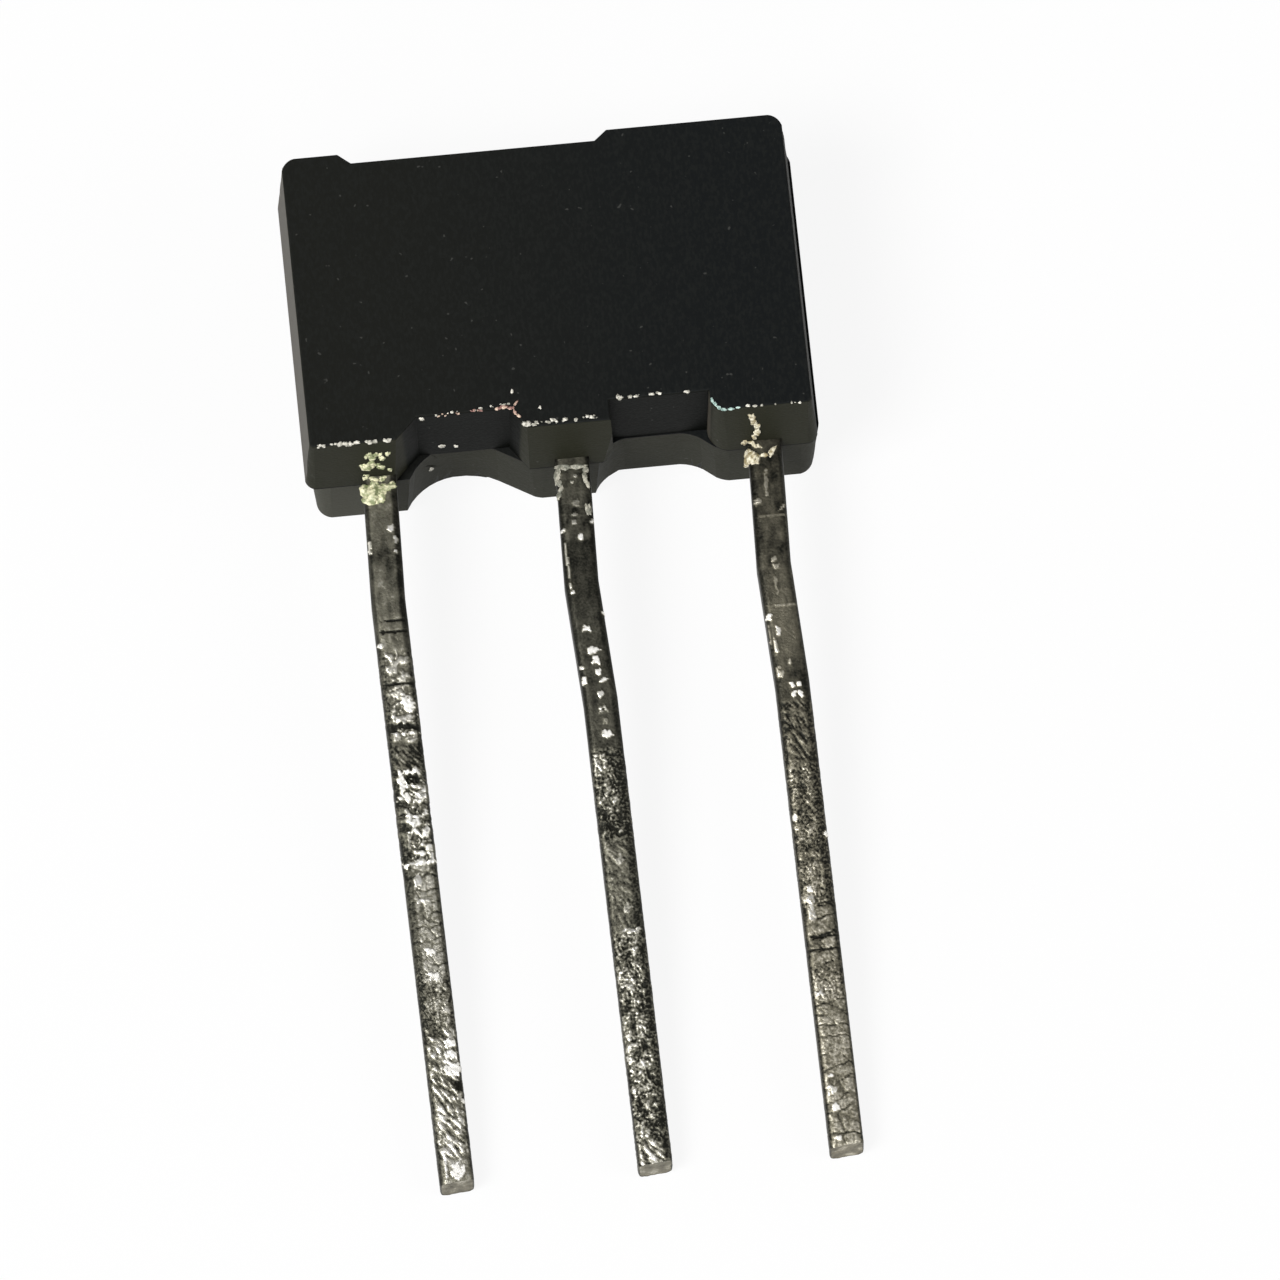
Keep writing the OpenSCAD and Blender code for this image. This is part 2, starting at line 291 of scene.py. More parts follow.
@dataclass(frozen=True)
class Epoxy:
    """Matte black moulding compound with a fine upright grain, and painted light and
    shade in its colour on some faces.

    A turn is a part of the normal, from where a tint starts to where it is full.
    The other spans do the same along an axis, in millimetres, or in a noise.
    """

    face: Colour = (0.0072, 0.0084, 0.0088)
    olive: Colour = (0.0105, 0.0110, 0.0094)
    mottle: Colour = (0.0150, 0.0162, 0.0150)
    # The walls' browner tone, painted lighter than the face as light from the floor.
    wall_tone_and_light: Colour = (0.0205, 0.0208, 0.0135)
    # Painted shade for the pockets' recessed walls and for walls that face right.
    painted_shade: Colour = (0.0026, 0.0032, 0.0025)
    # Painted light on the left flank, on the key lamp's side.
    painted_left_light: Colour = (0.060, 0.054, 0.042)
    # Painted light on the back half's left foot wall.
    painted_foot_light: Colour = (0.045, 0.045, 0.034)
    # A painted shadow line along the parting line.
    painted_seam_shadow: Colour = (0.003, 0.003, 0.003)
    speck: Colour = (0.07, 0.07, 0.065)
    wall_turn: Span = (0.75, 0.35)
    left_turn: Span = (-0.85, -0.97)
    right_turn: Span = (0.80, 0.97)
    clouds: Waves = (0.8, 4, (1, 1, 1))
    grain: Waves = (26, 3, (1, 0.35, 1))
    fleece: Waves = (27, 5, (1, 0.55, 1))
    specks: Waves = (11, 1, (1, 1, 1))
    swell: Waves = (3, 3, (1, 1, 1))
    cloud_drift: float = 1.6
    fleece_share: float = 0.45
    wall_share: Span = (0.75, 1.25)
    shade_share: float = 0.75
    speck_share: float = 0.5
    olive_side: Span = (-2.2, 3.6)
    fleece_edge: Span = (0.42, 0.66)
    speck_edge: Span = (0.755, 0.80)
    recess_floor: Span = (LEAD_SIDE / MM + 0.14, LEAD_SIDE / MM + 0.2)
    recess_depth: Span = (0.0, -0.5)
    recess_rise: Span = (PARTING / MM - 0.02, PARTING / MM + 0.02)
    recess_side: Span = (3.05, 2.85)
    # The next three spans place the painted light on the back half's left foot wall.
    foot_light_rise: Span = (PARTING / MM, PARTING / MM - 0.05)
    foot_light_side: Span = (-2.2, -2.4)
    foot_light_depth: Span = (LEAD_SIDE / MM + 0.7, LEAD_SIDE / MM + 0.3)
    seam_width: Span = (0.030, 0.008)
    fine_relief: float = 0.004 * MM
    swell_relief: float = 0.006 * MM

    def material(self) -> bpy.types.Material:
        """Build the material.

        Returns:
            The material.
        """
        graph = material_graph("epoxy")
        where = graph.place()
        height = graph.part_of(where, "Z")
        depth = graph.part_of(where, "Y")
        normal = graph.node("ShaderNodeNewGeometry", output="Normal")
        walls = abs(graph.part_of(normal, "Z")).fade(*self.wall_turn)
        flank = graph.part_of(normal, "X").fade(*self.left_turn)
        clouds = graph.noise(*self.clouds)
        grain = graph.noise(*self.grain)
        # The front face turns lighter and more olive towards its left side, a tone that also
        # stands for painted sheen from the key lamp on the left.
        side = graph.part_of(where, "X") + self.cloud_drift * clouds
        front = graph.mix(side.fade(*self.olive_side), self.olive, self.face)
        fleece = graph.noise(*self.fleece).fade(*self.fleece_edge)
        front = graph.mix(self.fleece_share * fleece, front, self.mottle)
        least, most = self.wall_share
        # Painted light: faces that are not level take the lighter wall colour.
        colour = graph.mix(walls * (least + (most - least) * clouds), front, self.wall_tone_and_light)
        # Painted shade on the pockets' recessed walls.
        recess_shade = depth.fade(*self.recess_floor) * depth.fade(*self.recess_depth) * walls
        recess_shade = recess_shade * height.fade(*self.recess_rise)
        recess_shade = recess_shade * abs(graph.part_of(where, "X")).fade(*self.recess_side)
        colour = graph.mix(recess_shade, colour, self.painted_shade)
        # Painted shade on walls that face right, away from the key lamp.
        shaded = graph.part_of(normal, "X").fade(*self.right_turn)
        colour = graph.mix(self.shade_share * shaded, colour, self.painted_shade)
        # Painted light on the left flank.
        colour = graph.mix(flank, colour, self.painted_left_light)
        # Painted light on the back half's left foot wall, near the lead side.
        foot_light = height.fade(*self.foot_light_rise)
        foot_light = foot_light * graph.part_of(where, "X").fade(*self.foot_light_side) * walls
        colour = graph.mix(foot_light * depth.fade(*self.foot_light_depth), colour, self.painted_foot_light)
        # Painted shadow along the parting line.
        painted_seam_shadow = abs(height - PARTING / MM).fade(*self.seam_width) * walls
        colour = graph.mix(painted_seam_shadow, colour, self.painted_seam_shadow)
        specks = graph.noise(*self.specks).fade(*self.speck_edge)
        colour = graph.mix(specks * self.speck_share, colour, self.speck)
        fine = graph.bump(grain, self.fine_relief)
        relief = graph.bump(graph.noise(*self.swell), self.swell_relief, fine)
        return graph.surface(
            Base_Color=colour, Roughness=0.5 + 0.16 * grain, Normal=relief,
            Specular_IOR_Level=0.06, Coat_Weight=flank * 0.12, Coat_Roughness=0.35)


# bare also carries the painted shade of a lead's edge bands and flanks and the painted glints
# of its brightest flecks.
MARKS = ("bare", "cut", "grit")


@dataclass(frozen=True)
class Tin:
    """Tin plating over copper alloy: dark where it has tarnished and where shade is
    painted on the edge bands and flanks, bright where bare and where glints are painted.

    levels says how bare the plating is where it has each of its four colours.
    """

    # The darkest colour is both tarnish and painted shade; the two brightest are both bare tin
    # and painted glints.
    tarnish_and_shade: Colour = (0.016, 0.016, 0.012)
    dull: Colour = (0.215, 0.205, 0.158)
    bright: Colour = (0.86, 0.83, 0.73)
    salt: Colour = (0.95, 0.93, 0.88)
    copper: Colour = (0.30, 0.27, 0.20)
    levels: tuple[float, float, float, float] = (0.0, 0.45, 0.88, 1.0)
    grain: Waves = (30, 5, (1, 1, 1))
    least_grain: float = 0.2
    grit_grain: float = 2.1
    relief: float = 0.006 * MM
    copper_share: float = 0.35

    def material(self, name: str) -> bpy.types.Material:
        """Build the material, which reads from the mesh how bare the plating is, with the
        painted shade and glints mixed in.

        Args:
            name: The material's name.

        Returns:
            The material.
        """
        graph = material_graph(name)
        bare, cut, grit = [
            graph.node("ShaderNodeAttribute", {"attribute_name": mark}, output="Fac")
            for mark in MARKS]
        fine = graph.noise(*self.grain)
        level = bare + (self.least_grain + self.grit_grain * grit) * (fine - 0.5)
        stops = list(zip(self.levels, (self.tarnish_and_shade, self.dull, self.bright, self.salt)))
        colour = graph.node("ShaderNodeValToRGB", {"stops": stops}, {0: level})
        colour = graph.mix(self.copper_share * cut, colour, self.copper)
        relief = graph.bump(fine, self.relief)
        # Painted glints: where the tin is brightest it is less metallic, so its pale colour
        # shows under any lamp.
        return graph.surface(
            Base_Color=colour, Metallic=0.85 - 0.6 * bare.fade(0.9, 1.1),
            Roughness=0.52 - 0.2 * bare.fade(0.3, 1), Normal=relief)


@dataclass(frozen=True)
class Crumb:
    """Brittle crumbs left on the surface: flash chips, flux and salts; also the pale
    lumps of one painted highlight.
    """

    pale: Colour
    dark: Colour
    spots: Waves = (14, 4, (1, 1, 1))
    pits: Waves = (40, 3, (1, 1, 1))
    relief: float = 0.006 * MM

    def material(self, name: str) -> bpy.types.Material:
        """Build the material, mottled between its pale and its dark colour.

        Args:
            name: The material's name.

        Returns:
            The material.
        """
        graph = material_graph(name)
        spots = graph.noise(*self.spots)
        colour = graph.mix(spots.fade(0.38, 0.62), self.dark, self.pale)
        relief = graph.bump(graph.noise(*self.pits), self.relief)
        return graph.surface(Base_Color=colour, Roughness=0.45, Normal=relief)


@dataclass(frozen=True)
class Inner:
    """A plain finish of a piece inside the moulding, with per_mm clouds in a millimetre."""

    colour: Colour
    dark: Colour
    metallic: float
    roughness: float
    per_mm: float
    relief: float = 0.002 * MM

    def material(self, name: str) -> bpy.types.Material:
        """Build the material with its faint clouds.

        Args:
            name: The material's name.

        Returns:
            The material.
        """
        graph = material_graph(name)
        clouds = graph.noise(self.per_mm, 3)
        colour = graph.mix(clouds, self.dark, self.colour)
        return graph.surface(
            Base_Color=colour, Metallic=self.metallic,
            Roughness=self.roughness + 0.1 * clouds, Normal=graph.bump(clouds, self.relief))


# ---- Studio ----


@dataclass
class Viewpoint:
    """The camera: where it stands and which pixel sees what.

    It aims at the middle of the lead frame, one lead pitch below the body.
    """

    tilt: float = math.radians(22)
    turn: float = math.radians(1.9)
    roll: float = math.radians(-6.06)
    distance: float = 0.3
    pixels: int = 1280
    pixels_per_mm: float = 76.4
    aim_pixel: tuple[float, float] = (591.3, 643.8)
    sensor: float = 36.0
    frame_shift: float = 0.134 * MM
    lead_pitch: float = 2.54 * MM
    aim: Vector = field(init=False)
    right: Vector = field(init=False)
    up: Vector = field(init=False)
    back: Vector = field(init=False)

    def __post_init__(self) -> None:
        """Work out the camera's axes and the point that it aims at."""
        self.back = Vector((-math.sin(self.turn) * math.cos(self.tilt),
                            -math.sin(self.tilt),
                            math.cos(self.turn) * math.cos(self.tilt)))
        level = Vector((0, 1, 0))
        level = (level - self.back * level.dot(self.back)).normalized()
        across = level.cross(self.back)
        self.right = math.cos(self.roll) * across + math.sin(self.roll) * level
        self.up = math.cos(self.roll) * level - math.sin(self.roll) * across
        self.aim = Vector((self.frame_shift, LEAD_SIDE - self.lead_pitch, PARTING))

    def on_plane(self, pixel: tuple[float, float]) -> Vector:
        """Find what a pixel sees on the plane through the aim point.

        Args:
            pixel: The pixel's column and row.

        Returns:
            The point.
        """
        step = MM / self.pixels_per_mm
        return (self.aim + self.right * (pixel[0] - self.aim_pixel[0]) * step
                - self.up * (pixel[1] - self.aim_pixel[1]) * step)

    def ray(self, pixel: tuple[float, float]) -> tuple[Vector, Vector]:
        """Return where the ray through a pixel starts, and its direction."""
        start = self.camera_place()
        return start, (self.on_plane(pixel) - start).normalized()

    def camera_place(self) -> Vector:
        """Return where the camera stands."""
        centre = self.on_plane((self.pixels / 2, self.pixels / 2))
        return centre + self.back * self.distance

    def build(self) -> None:
        """Make the camera and hand it to the scene."""
        data = bpy.data.cameras.new("camera")
        width = self.pixels / self.pixels_per_mm * MM
        data.sensor_width = self.sensor
        data.lens = self.sensor * self.distance / width
        data.clip_start = self.distance / 100
        data.clip_end = self.distance * 100
        camera = bpy.data.objects.new("camera", data)
        axes = Matrix((self.right, self.up, self.back)).transposed()
        camera.matrix_world = Matrix.Translation(self.camera_place()) @ axes.to_4x4()
        bpy.context.scene.collection.objects.link(camera)
        bpy.context.scene.camera = camera


@dataclass(frozen=True)
class Lamp:
    """One square soft box."""

    name: str
    towards: Colour
    distance: float
    size: float
    watts: float


@dataclass
class Studio:
    """Pale floor, soft boxes and a sweep of white that darkens overhead."""

    floor_side: float = 3.0
    floor_colour: Colour = (0.82, 0.82, 0.82)
    floor_share: float = 0.90
    floor_gap: float = 0.002 * MM
    overhead: Colour = (0.10, 0.10, 0.10)
    horizon: Colour = (0.62, 0.62, 0.60)
    backdrop: Colour = (1, 1, 1)
    room_rise: Span = (0.1, 0.6)
    backdrop_rise: Span = (0.2, 0.5)
    lamps: tuple[Lamp, ...] = (
        Lamp("key_box", (-0.50, -0.30, 0.81), 0.50, 0.22, 2.6),
        Lamp("fill_box", (0.75, -0.35, 0.56), 0.60, 0.30, 0.9),
        Lamp("low_box", (-0.25, -0.93, 0.28), 0.60, 0.25, 0.7),
    )

    def build(self) -> None:
        """Make the floor, the lamps and the world."""
        self._floor()
        self._world()
        for lamp in self.lamps:
            self._lamp(lamp)

    def _floor(self) -> None:
        """Lay the floor just under the part."""
        half = self.floor_side / 2
        mesh = bpy.data.meshes.new("floor")
        corners = [(-half, -half, 0), (half, -half, 0), (half, half, 0), (-half, half, 0)]
        mesh.from_pydata(corners, [], [(0, 1, 2, 3)])
        floor = bpy.data.objects.new("floor", mesh)
        floor.location.z = CAD_BOX[0].z - self.floor_gap
        bpy.context.scene.collection.objects.link(floor)
        graph = material_graph("white_floor")
        lit = graph.node("ShaderNodeBsdfDiffuse", None, {"Color": (*self.floor_colour, 1)})
        white = graph.node("ShaderNodeEmission", None, {"Strength": 1.0})
        amount = self._seen(graph) * self.floor_share
        mesh.materials.append(graph.close(
            graph.node("ShaderNodeMixShader", None, {0: amount, 1: lit, 2: white})))

    @staticmethod
    def _seen(graph: Graph) -> Wire:
        """Tell the rays that see the background from those that only light the part.

        Args:
            graph: The graph that asks.

        Returns:
            1 on camera, glossy and transmission rays, and 0 on others.
        """
        camera, glossy, through = (graph.node("ShaderNodeLightPath", output=name) for name in (
            "Is Camera Ray", "Is Glossy Ray", "Is Transmission Ray"))
        rays = camera + glossy + through
        return rays.math("MINIMUM", rays, 1.0)

    def _world(self) -> None:
        """Make a world that is white round the floor where it is seen, and dark overhead."""
        world = bpy.data.worlds.new("studio")
        bpy.context.scene.world = world
        graph = Graph(world)
        rise = graph.part_of(graph.node("ShaderNodeTexCoord", output="Generated"), "Z")
        room = graph.mix(rise.fade(*self.room_rise), self.horizon, self.overhead)
        backdrop = graph.mix(rise.fade(*self.backdrop_rise), self.backdrop, self.overhead)
        colour = graph.mix(self._seen(graph), room, backdrop)
        light = graph.node("ShaderNodeBackground", None, {"Color": colour, "Strength": 1.0})
        graph.node("ShaderNodeOutputWorld", None, {"Surface": light})

    @staticmethod
    def _lamp(lamp: Lamp) -> None:
        """Hang one soft box, which faces the part.

        Args:
            lamp: The soft box.
        """
        data = bpy.data.lights.new(lamp.name, "AREA")
        data.size = lamp.size
        data.energy = lamp.watts
        made = bpy.data.objects.new(lamp.name, data)
        towards = Vector(lamp.towards).normalized()
        made.location = (CAD_BOX[0] + CAD_BOX[1]) / 2 + towards * lamp.distance
        made.rotation_euler = towards.to_track_quat("Z", "Y").to_euler()
        bpy.context.scene.collection.objects.link(made)


# ---- Meshes ----


def new_piece(name: str, mesh: bpy.types.Mesh, material: bpy.types.Material,
              slot: str, *nodes: str) -> bpy.types.Object:
    """Make a piece that rides on the part.

    Args:
        name: The piece's name.
        mesh: Its mesh.
        material: Its only material.
        slot: The record's material slot. Not used.
        nodes: The CAD nodes that it stands for.

    Returns:
        The piece.
    """
    piece = bpy.data.objects.new(name, mesh)
    bpy.context.scene.collection.objects.link(piece)
    mesh.materials.clear()
    mesh.materials.append(material)
    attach(piece, "root")
    if nodes:
        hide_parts(*nodes)
    LOG.info("%s: %d faces", name, len(mesh.polygons))
    return piece


INNER_BOXES = [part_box(name) for name in (
    "emitter_lead", "collector_lead", "base_lead", "silicon_die", "emitter_wire", "base_wire")]
INNER_REACH = 0.03 * MM


def in_inner_room(point: Vector) -> bool:
    """Tell whether a point belongs to the room for the leads, the die and the wires.

    Args:
        point: The point.

    Returns:
        True within reach of one of their boxes.
    """
    return any(
        all(low[i] - INNER_REACH < point[i] < high[i] + INNER_REACH for i in range(3))
        for low, high in INNER_BOXES)


Corner = tuple[int, Vector]
Face = list[Corner]
SMOOTH_TURN = 0.85


class Skin:
    """A node's faces with their true normals, which can be rounded and softened."""

    def __init__(self, mesh: bpy.types.Mesh, least_turn: float) -> None:
        """Take the mesh's corners, with one point for each place.

        Args:
            mesh: A triangle mesh whose corner normals follow its curves.
            least_turn: Edges whose normals turn by less than this stay straight.
        """
        self.least_turn = least_turn
        self.points: list[Vector] = []
        self.faces: list[Face] = []
        self.kept: list[Face] = []
        index: dict[tuple[int, ...], int] = {}
        for polygon in mesh.polygons:
            corners = []
            for loop in polygon.loop_indices:
                place = mesh.vertices[mesh.loops[loop].vertex_index].co
                key = tuple(round(part / SAME_PLACE) for part in place)
                if key not in index:
                    index[key] = len(self.points)
                    self.points.append(place.copy())
                corners.append((index[key], mesh.corner_normals[loop].vector.copy()))
            if len({corner[0] for corner in corners}) == len(corners):
                inner = in_inner_room(polygon.center)
                (self.kept if inner else self.faces).append(corners)

    @staticmethod
    def _sides(face: Face) -> list[tuple[Corner, Corner]]:
        """Return the face's sides as pairs of corners."""
        return list(zip(face, face[1:] + face[:1]))

    def _middles(self) -> dict[tuple[int, int], int]:
        """Add a new point on every edge that turns.

        Returns:
            The new point's number for each edge.
        """
        found: dict[tuple[int, int], tuple[float, Vector]] = {}
        for face in self.faces:
            for (a, normal_a), (b, normal_b) in self._sides(face):
                turn = normal_a.angle(normal_b, 0.0)
                key = (min(a, b), max(a, b))
                if turn < self.least_turn or turn <= found.get(key, (0.0,))[0]:
                    continue
                chord = self.points[b] - self.points[a]
                bulge = chord.length / 2 * math.tan(turn / 4)
                if (normal_b - normal_a).dot(chord) < 0:
                    bulge = -bulge
                middle = (self.points[a] + self.points[b]) / 2
                found[key] = (turn, middle + (normal_a + normal_b).normalized() * bulge)
        middles = {}
        for key, (_, middle) in found.items():
            middles[key] = len(self.points)
            self.points.append(middle)
        return middles

    def split(self) -> None:
        """Split every edge that turns, once, and lift the new points to the curve."""
        middles = self._middles()
        made = []
        for face in self.faces:
            ring = []
            split = []
            for (a, normal_a), (b, normal_b) in self._sides(face):
                ring.append((a, normal_a))
                key = (min(a, b), max(a, b))
                if key in middles:
                    split.append(len(ring))
                    ring.append((middles[key], (normal_a + normal_b).normalized()))
            made.extend(self._cut(ring, split))
        self.faces = made

    @staticmethod
    def _cut(ring: Face, split: list[int]) -> list[Face]:
        """Cut a triangle that has new points on its edges into triangles.

        Args:
            ring: The triangle's corners and new points, in order.
            split: Where in the ring the new points are.

        Returns:
            The triangles.
        """
        count = len(ring)
        if not split:
            return [ring]
        if len(split) == 3:
            tips = [[ring[(i + 1) % count], ring[(i + 2) % count], ring[i]] for i in split]
            return tips + [[ring[i] for i in split]]
        first = split[0]
        turned = ring[first:] + ring[:first]
        fan = [[turned[0], turned[1], turned[2]], [turned[0], turned[2], turned[3]]]
        if len(split) == 1:
            return fan
        if split[1] - split[0] == 2:
            return fan + [[turned[0], turned[3], turned[4]]]
        return fan + [[turned[3], turned[4], turned[0]]]

    def _take_flat(self, level: float, up: Vector) -> list[int]:
        """Take a level face off the skin.

        Args:
            level: The face's z.
            up: The face's normal.

        Returns:
            The points round the face, in order.
        """
        flat = []
        rest = []
        for face in self.faces:
            on_it = all(
                abs(self.points[point].z - level) < 10 * SAME_PLACE and normal.dot(up) > 0.99
                for point, normal in face)
            (flat if on_it else rest).append(face)
        self.faces = rest
        sides = {(a[0], b[0]) for face in flat for a, b in self._sides(face)}
        after = {a: b for a, b in sides if (b, a) not in sides}
        loop = [min(after)]
        while after[loop[-1]] != loop[0]:
            loop.append(after[loop[-1]])
        return loop

    def soften_rim(self, level: float, upward: int, width: float, segments: int) -> None:
        """Round the edge round a level face.

        Args:
            level: The face's z.
            upward: 1 where the face looks up and -1 where it looks down.
            width: The rounding's radius.
            segments: How many strips the rounding has.
        """
        up = Vector((0, 0, upward))
        loop = self._take_flat(level, up)
        count = len(loop)
        places = [self.points[point].copy() for point in loop]
        ways = [(places[(i + 1) % count] - places[i]).normalized() for i in range(count)]
        inward = [up.cross(way) for way in ways]
        ring = loop
        tilt = 0.0
        for point in loop:
            self.points[point] -= up * width
        for step in range(1, segments + 1):
            angle = math.radians(90) * step / segments
            above = []
            for i, place in enumerate(places):
                mitre = (inward[i - 1] + inward[i]) / (1 + inward[i - 1].dot(inward[i]))
                above.append(len(self.points))
                self.points.append(place + mitre * width * (1 - math.cos(angle))
                                   - up * width * (1 - math.sin(angle)))
            for i in range(count):
                after = (i + 1) % count
                self.faces.append([
                    (ring[i], self._rim_normal(inward, i, i, up, tilt)),
                    (ring[after], self._rim_normal(inward, after, i, up, tilt)),
                    (above[after], self._rim_normal(inward, after, i, up, angle)),
                    (above[i], self._rim_normal(inward, i, i, up, angle))])
            ring = above
            tilt = angle
        self.faces.append([(point, up) for point in ring])

    @staticmethod
    def _rim_normal(inward: list[Vector], corner: int, side: int, up: Vector,
                    angle: float) -> Vector:
        """Return the rounding's normal at one corner of the strip along a side.

        Args:
            inward: The inward direction of each side.
            corner: The corner's number.
            side: The side's number.
            up: The level face's normal.
            angle: How far round the rounding the corner lies.

        Returns:
            The normal.
        """
        smooth = inward[corner - 1].dot(inward[corner]) > SMOOTH_TURN
        across = (inward[corner - 1] + inward[corner]).normalized() if smooth else inward[side]
        return up * math.sin(angle) - across * math.cos(angle)

    def mesh(self, name: str) -> bpy.types.Mesh:
        """Turn the skin into a mesh with its smooth normals.

        Args:
            name: The mesh's name.

        Returns:
            The mesh.
        """
        faces = self.faces + self.kept
        made = bpy.data.meshes.new(name)
        made.from_pydata(self.points, [], [[corner[0] for corner in face] for face in faces])
        made.shade_smooth()
        made.normals_split_custom_set([corner[1] for face in faces for corner in face])
        return made


@dataclass
class Moulding:
    """The epoxy body with smooth curves and softened rims."""

    node: str = "epoxy_body"
    rim: float = 0.030 * MM
    segments: int = 4
    least_turn: float = math.radians(2)
    rounds: int = 2
    finish: Epoxy = Epoxy()

    def build(self) -> bpy.types.Object:
        """Round the node's curves, soften the rims of its two faces and dress it.

        Returns:
            The piece, which stands for the node.
        """
        skin = Skin(bpy.data.objects[self.node].data, self.least_turn)
        for _ in range(self.rounds):
            skin.split()
        skin.soften_rim(BODY_HIGH.z, 1, self.rim, self.segments)
        skin.soften_rim(BODY_LOW.z, -1, self.rim, self.segments)
        mesh = skin.mesh("moulding")
        return new_piece("moulding", mesh, self.finish.material(), "epoxy", self.node)


# ---- Leads ----


class Plating(Enum):
    """How the tin on a stretch of a lead has grown and worn."""

    SATIN = "smooth and clouded"
    BLOCKS = "bright blocks between dark grooves"
    SCALES = "fine slanting scales"
    CRINKLES = "salt and pepper"
    CRACKS = "a dull skin with dark cracks across"


@dataclass(frozen=True)
class Stretch:
    """One kind of plating, from its start down to the next stretch.

    Lengths are millimetres from the body. The dark bands along the lead's two
    edges, which are painted shade, are parts of its width.
    """

    start: float
    plating: Plating
    bare: float
    left: float = 0.16
    right: float = 0.12
    relief: float = 0.010
    contrast: float = 0.5


@dataclass(frozen=True)
class Spot:
    """A fleck that is brighter or darker than the tin round it. The bright flecks are
    partly bare tin and partly painted glints.

    along is the distance from the body and across runs from -1 at the lead's
    left edge to 1 at its right edge. Lengths are millimetres.
    """

    along: float
    across: float
    long: float = 0.08
    wide: float = 0.08
    bare: float = 1.0
    rise: float = 0.014
    slant: float = 0.0


def ease(value: float, start: float, end: float) -> float:
    """Rise smoothly from 0 to 1.

    Args:
        value: What is asked for.
        start: The value that gives 0.
        end: The value that gives 1, above or below start.

    Returns:
        The risen value.
    """
    part = max(0.0, min(1.0, (value - start) / (end - start)))
    return part * part * (3 - 2 * part)


def clip(value: float, least: float = -1.0, most: float = 1.2) -> float:
    """Return the value, kept between the least and the most."""
    return max(least, min(most, value))


def stretched(place: Vector, across: float, along: float) -> Vector:
    """Return the place with its length along the lead and its other two stretched."""
    return Vector((place.x * across, place.y * along, place.z * across))


Section = list[float]


class Track:
    """Where a lead's node runs outside the body.

    A section is the least and the greatest x, then the least and the greatest z.
    Near the tip, where the node's end is sheared, it runs on straight.
    """

    def __init__(self, node: str, end_length: float, slope_length: float) -> None:
        """Keep the edges of the node's mesh that a cut across can meet.

        Args:
            node: The node's name.
            end_length: How far from the tip the section runs on straight.
            slope_length: The stretch over which its slopes are measured.
        """
        mesh = bpy.data.objects[node].data
        self.spans = []
        for edge in mesh.edges:
            ends = [mesh.vertices[index].co for index in edge.vertices]
            ends.sort(key=lambda place: place.y)
            if ends[1].y - ends[0].y > SAME_PLACE:
                self.spans.append((ends[0].copy(), ends[1].copy()))
        self.tip = min(span[0].y for span in self.spans)
        right = max(self.spans, key=lambda span: span[0].x - abs(span[0].y - self.tip) * 2)
        self.skew = max(0.0, right[0].y - self.tip)
        self.end = self.tip + end_length
        self.last = self._cut(self.end)
        before = self._cut(self.end + slope_length)
        self.slopes = [(near - past) / slope_length for near, past in zip(before, self.last)]

    def _cut(self, y: float) -> Section:
        """Measure the cut across the node at y.

        Args:
            y: Where the cut is.

        Returns:
            The section.
        """
        xs = []
        zs = []
        for low, high in self.spans:
            if low.y <= y <= high.y:
                place = low.lerp(high, (y - low.y) / (high.y - low.y))
                xs.append(place.x)
                zs.append(place.z)
        return [min(xs), max(xs), min(zs), max(zs)]

    def section(self, y: float) -> Section:
        """Return the section at y, which runs on straight near the tip.

        Args:
            y: Where along the lead.

        Returns:
            The section's left, right, bottom and top.
        """
        if y > self.end:
            return self._cut(y)
        step = y - self.end
        return [value + slope * step for value, slope in zip(self.last, self.slopes)]


Hang = tuple[float, float, float, float]
# FLANK_TURN fades in the painted shade of a lead's flanks and calms their grit.
FLANK_TURN = (0.55, 0.15)


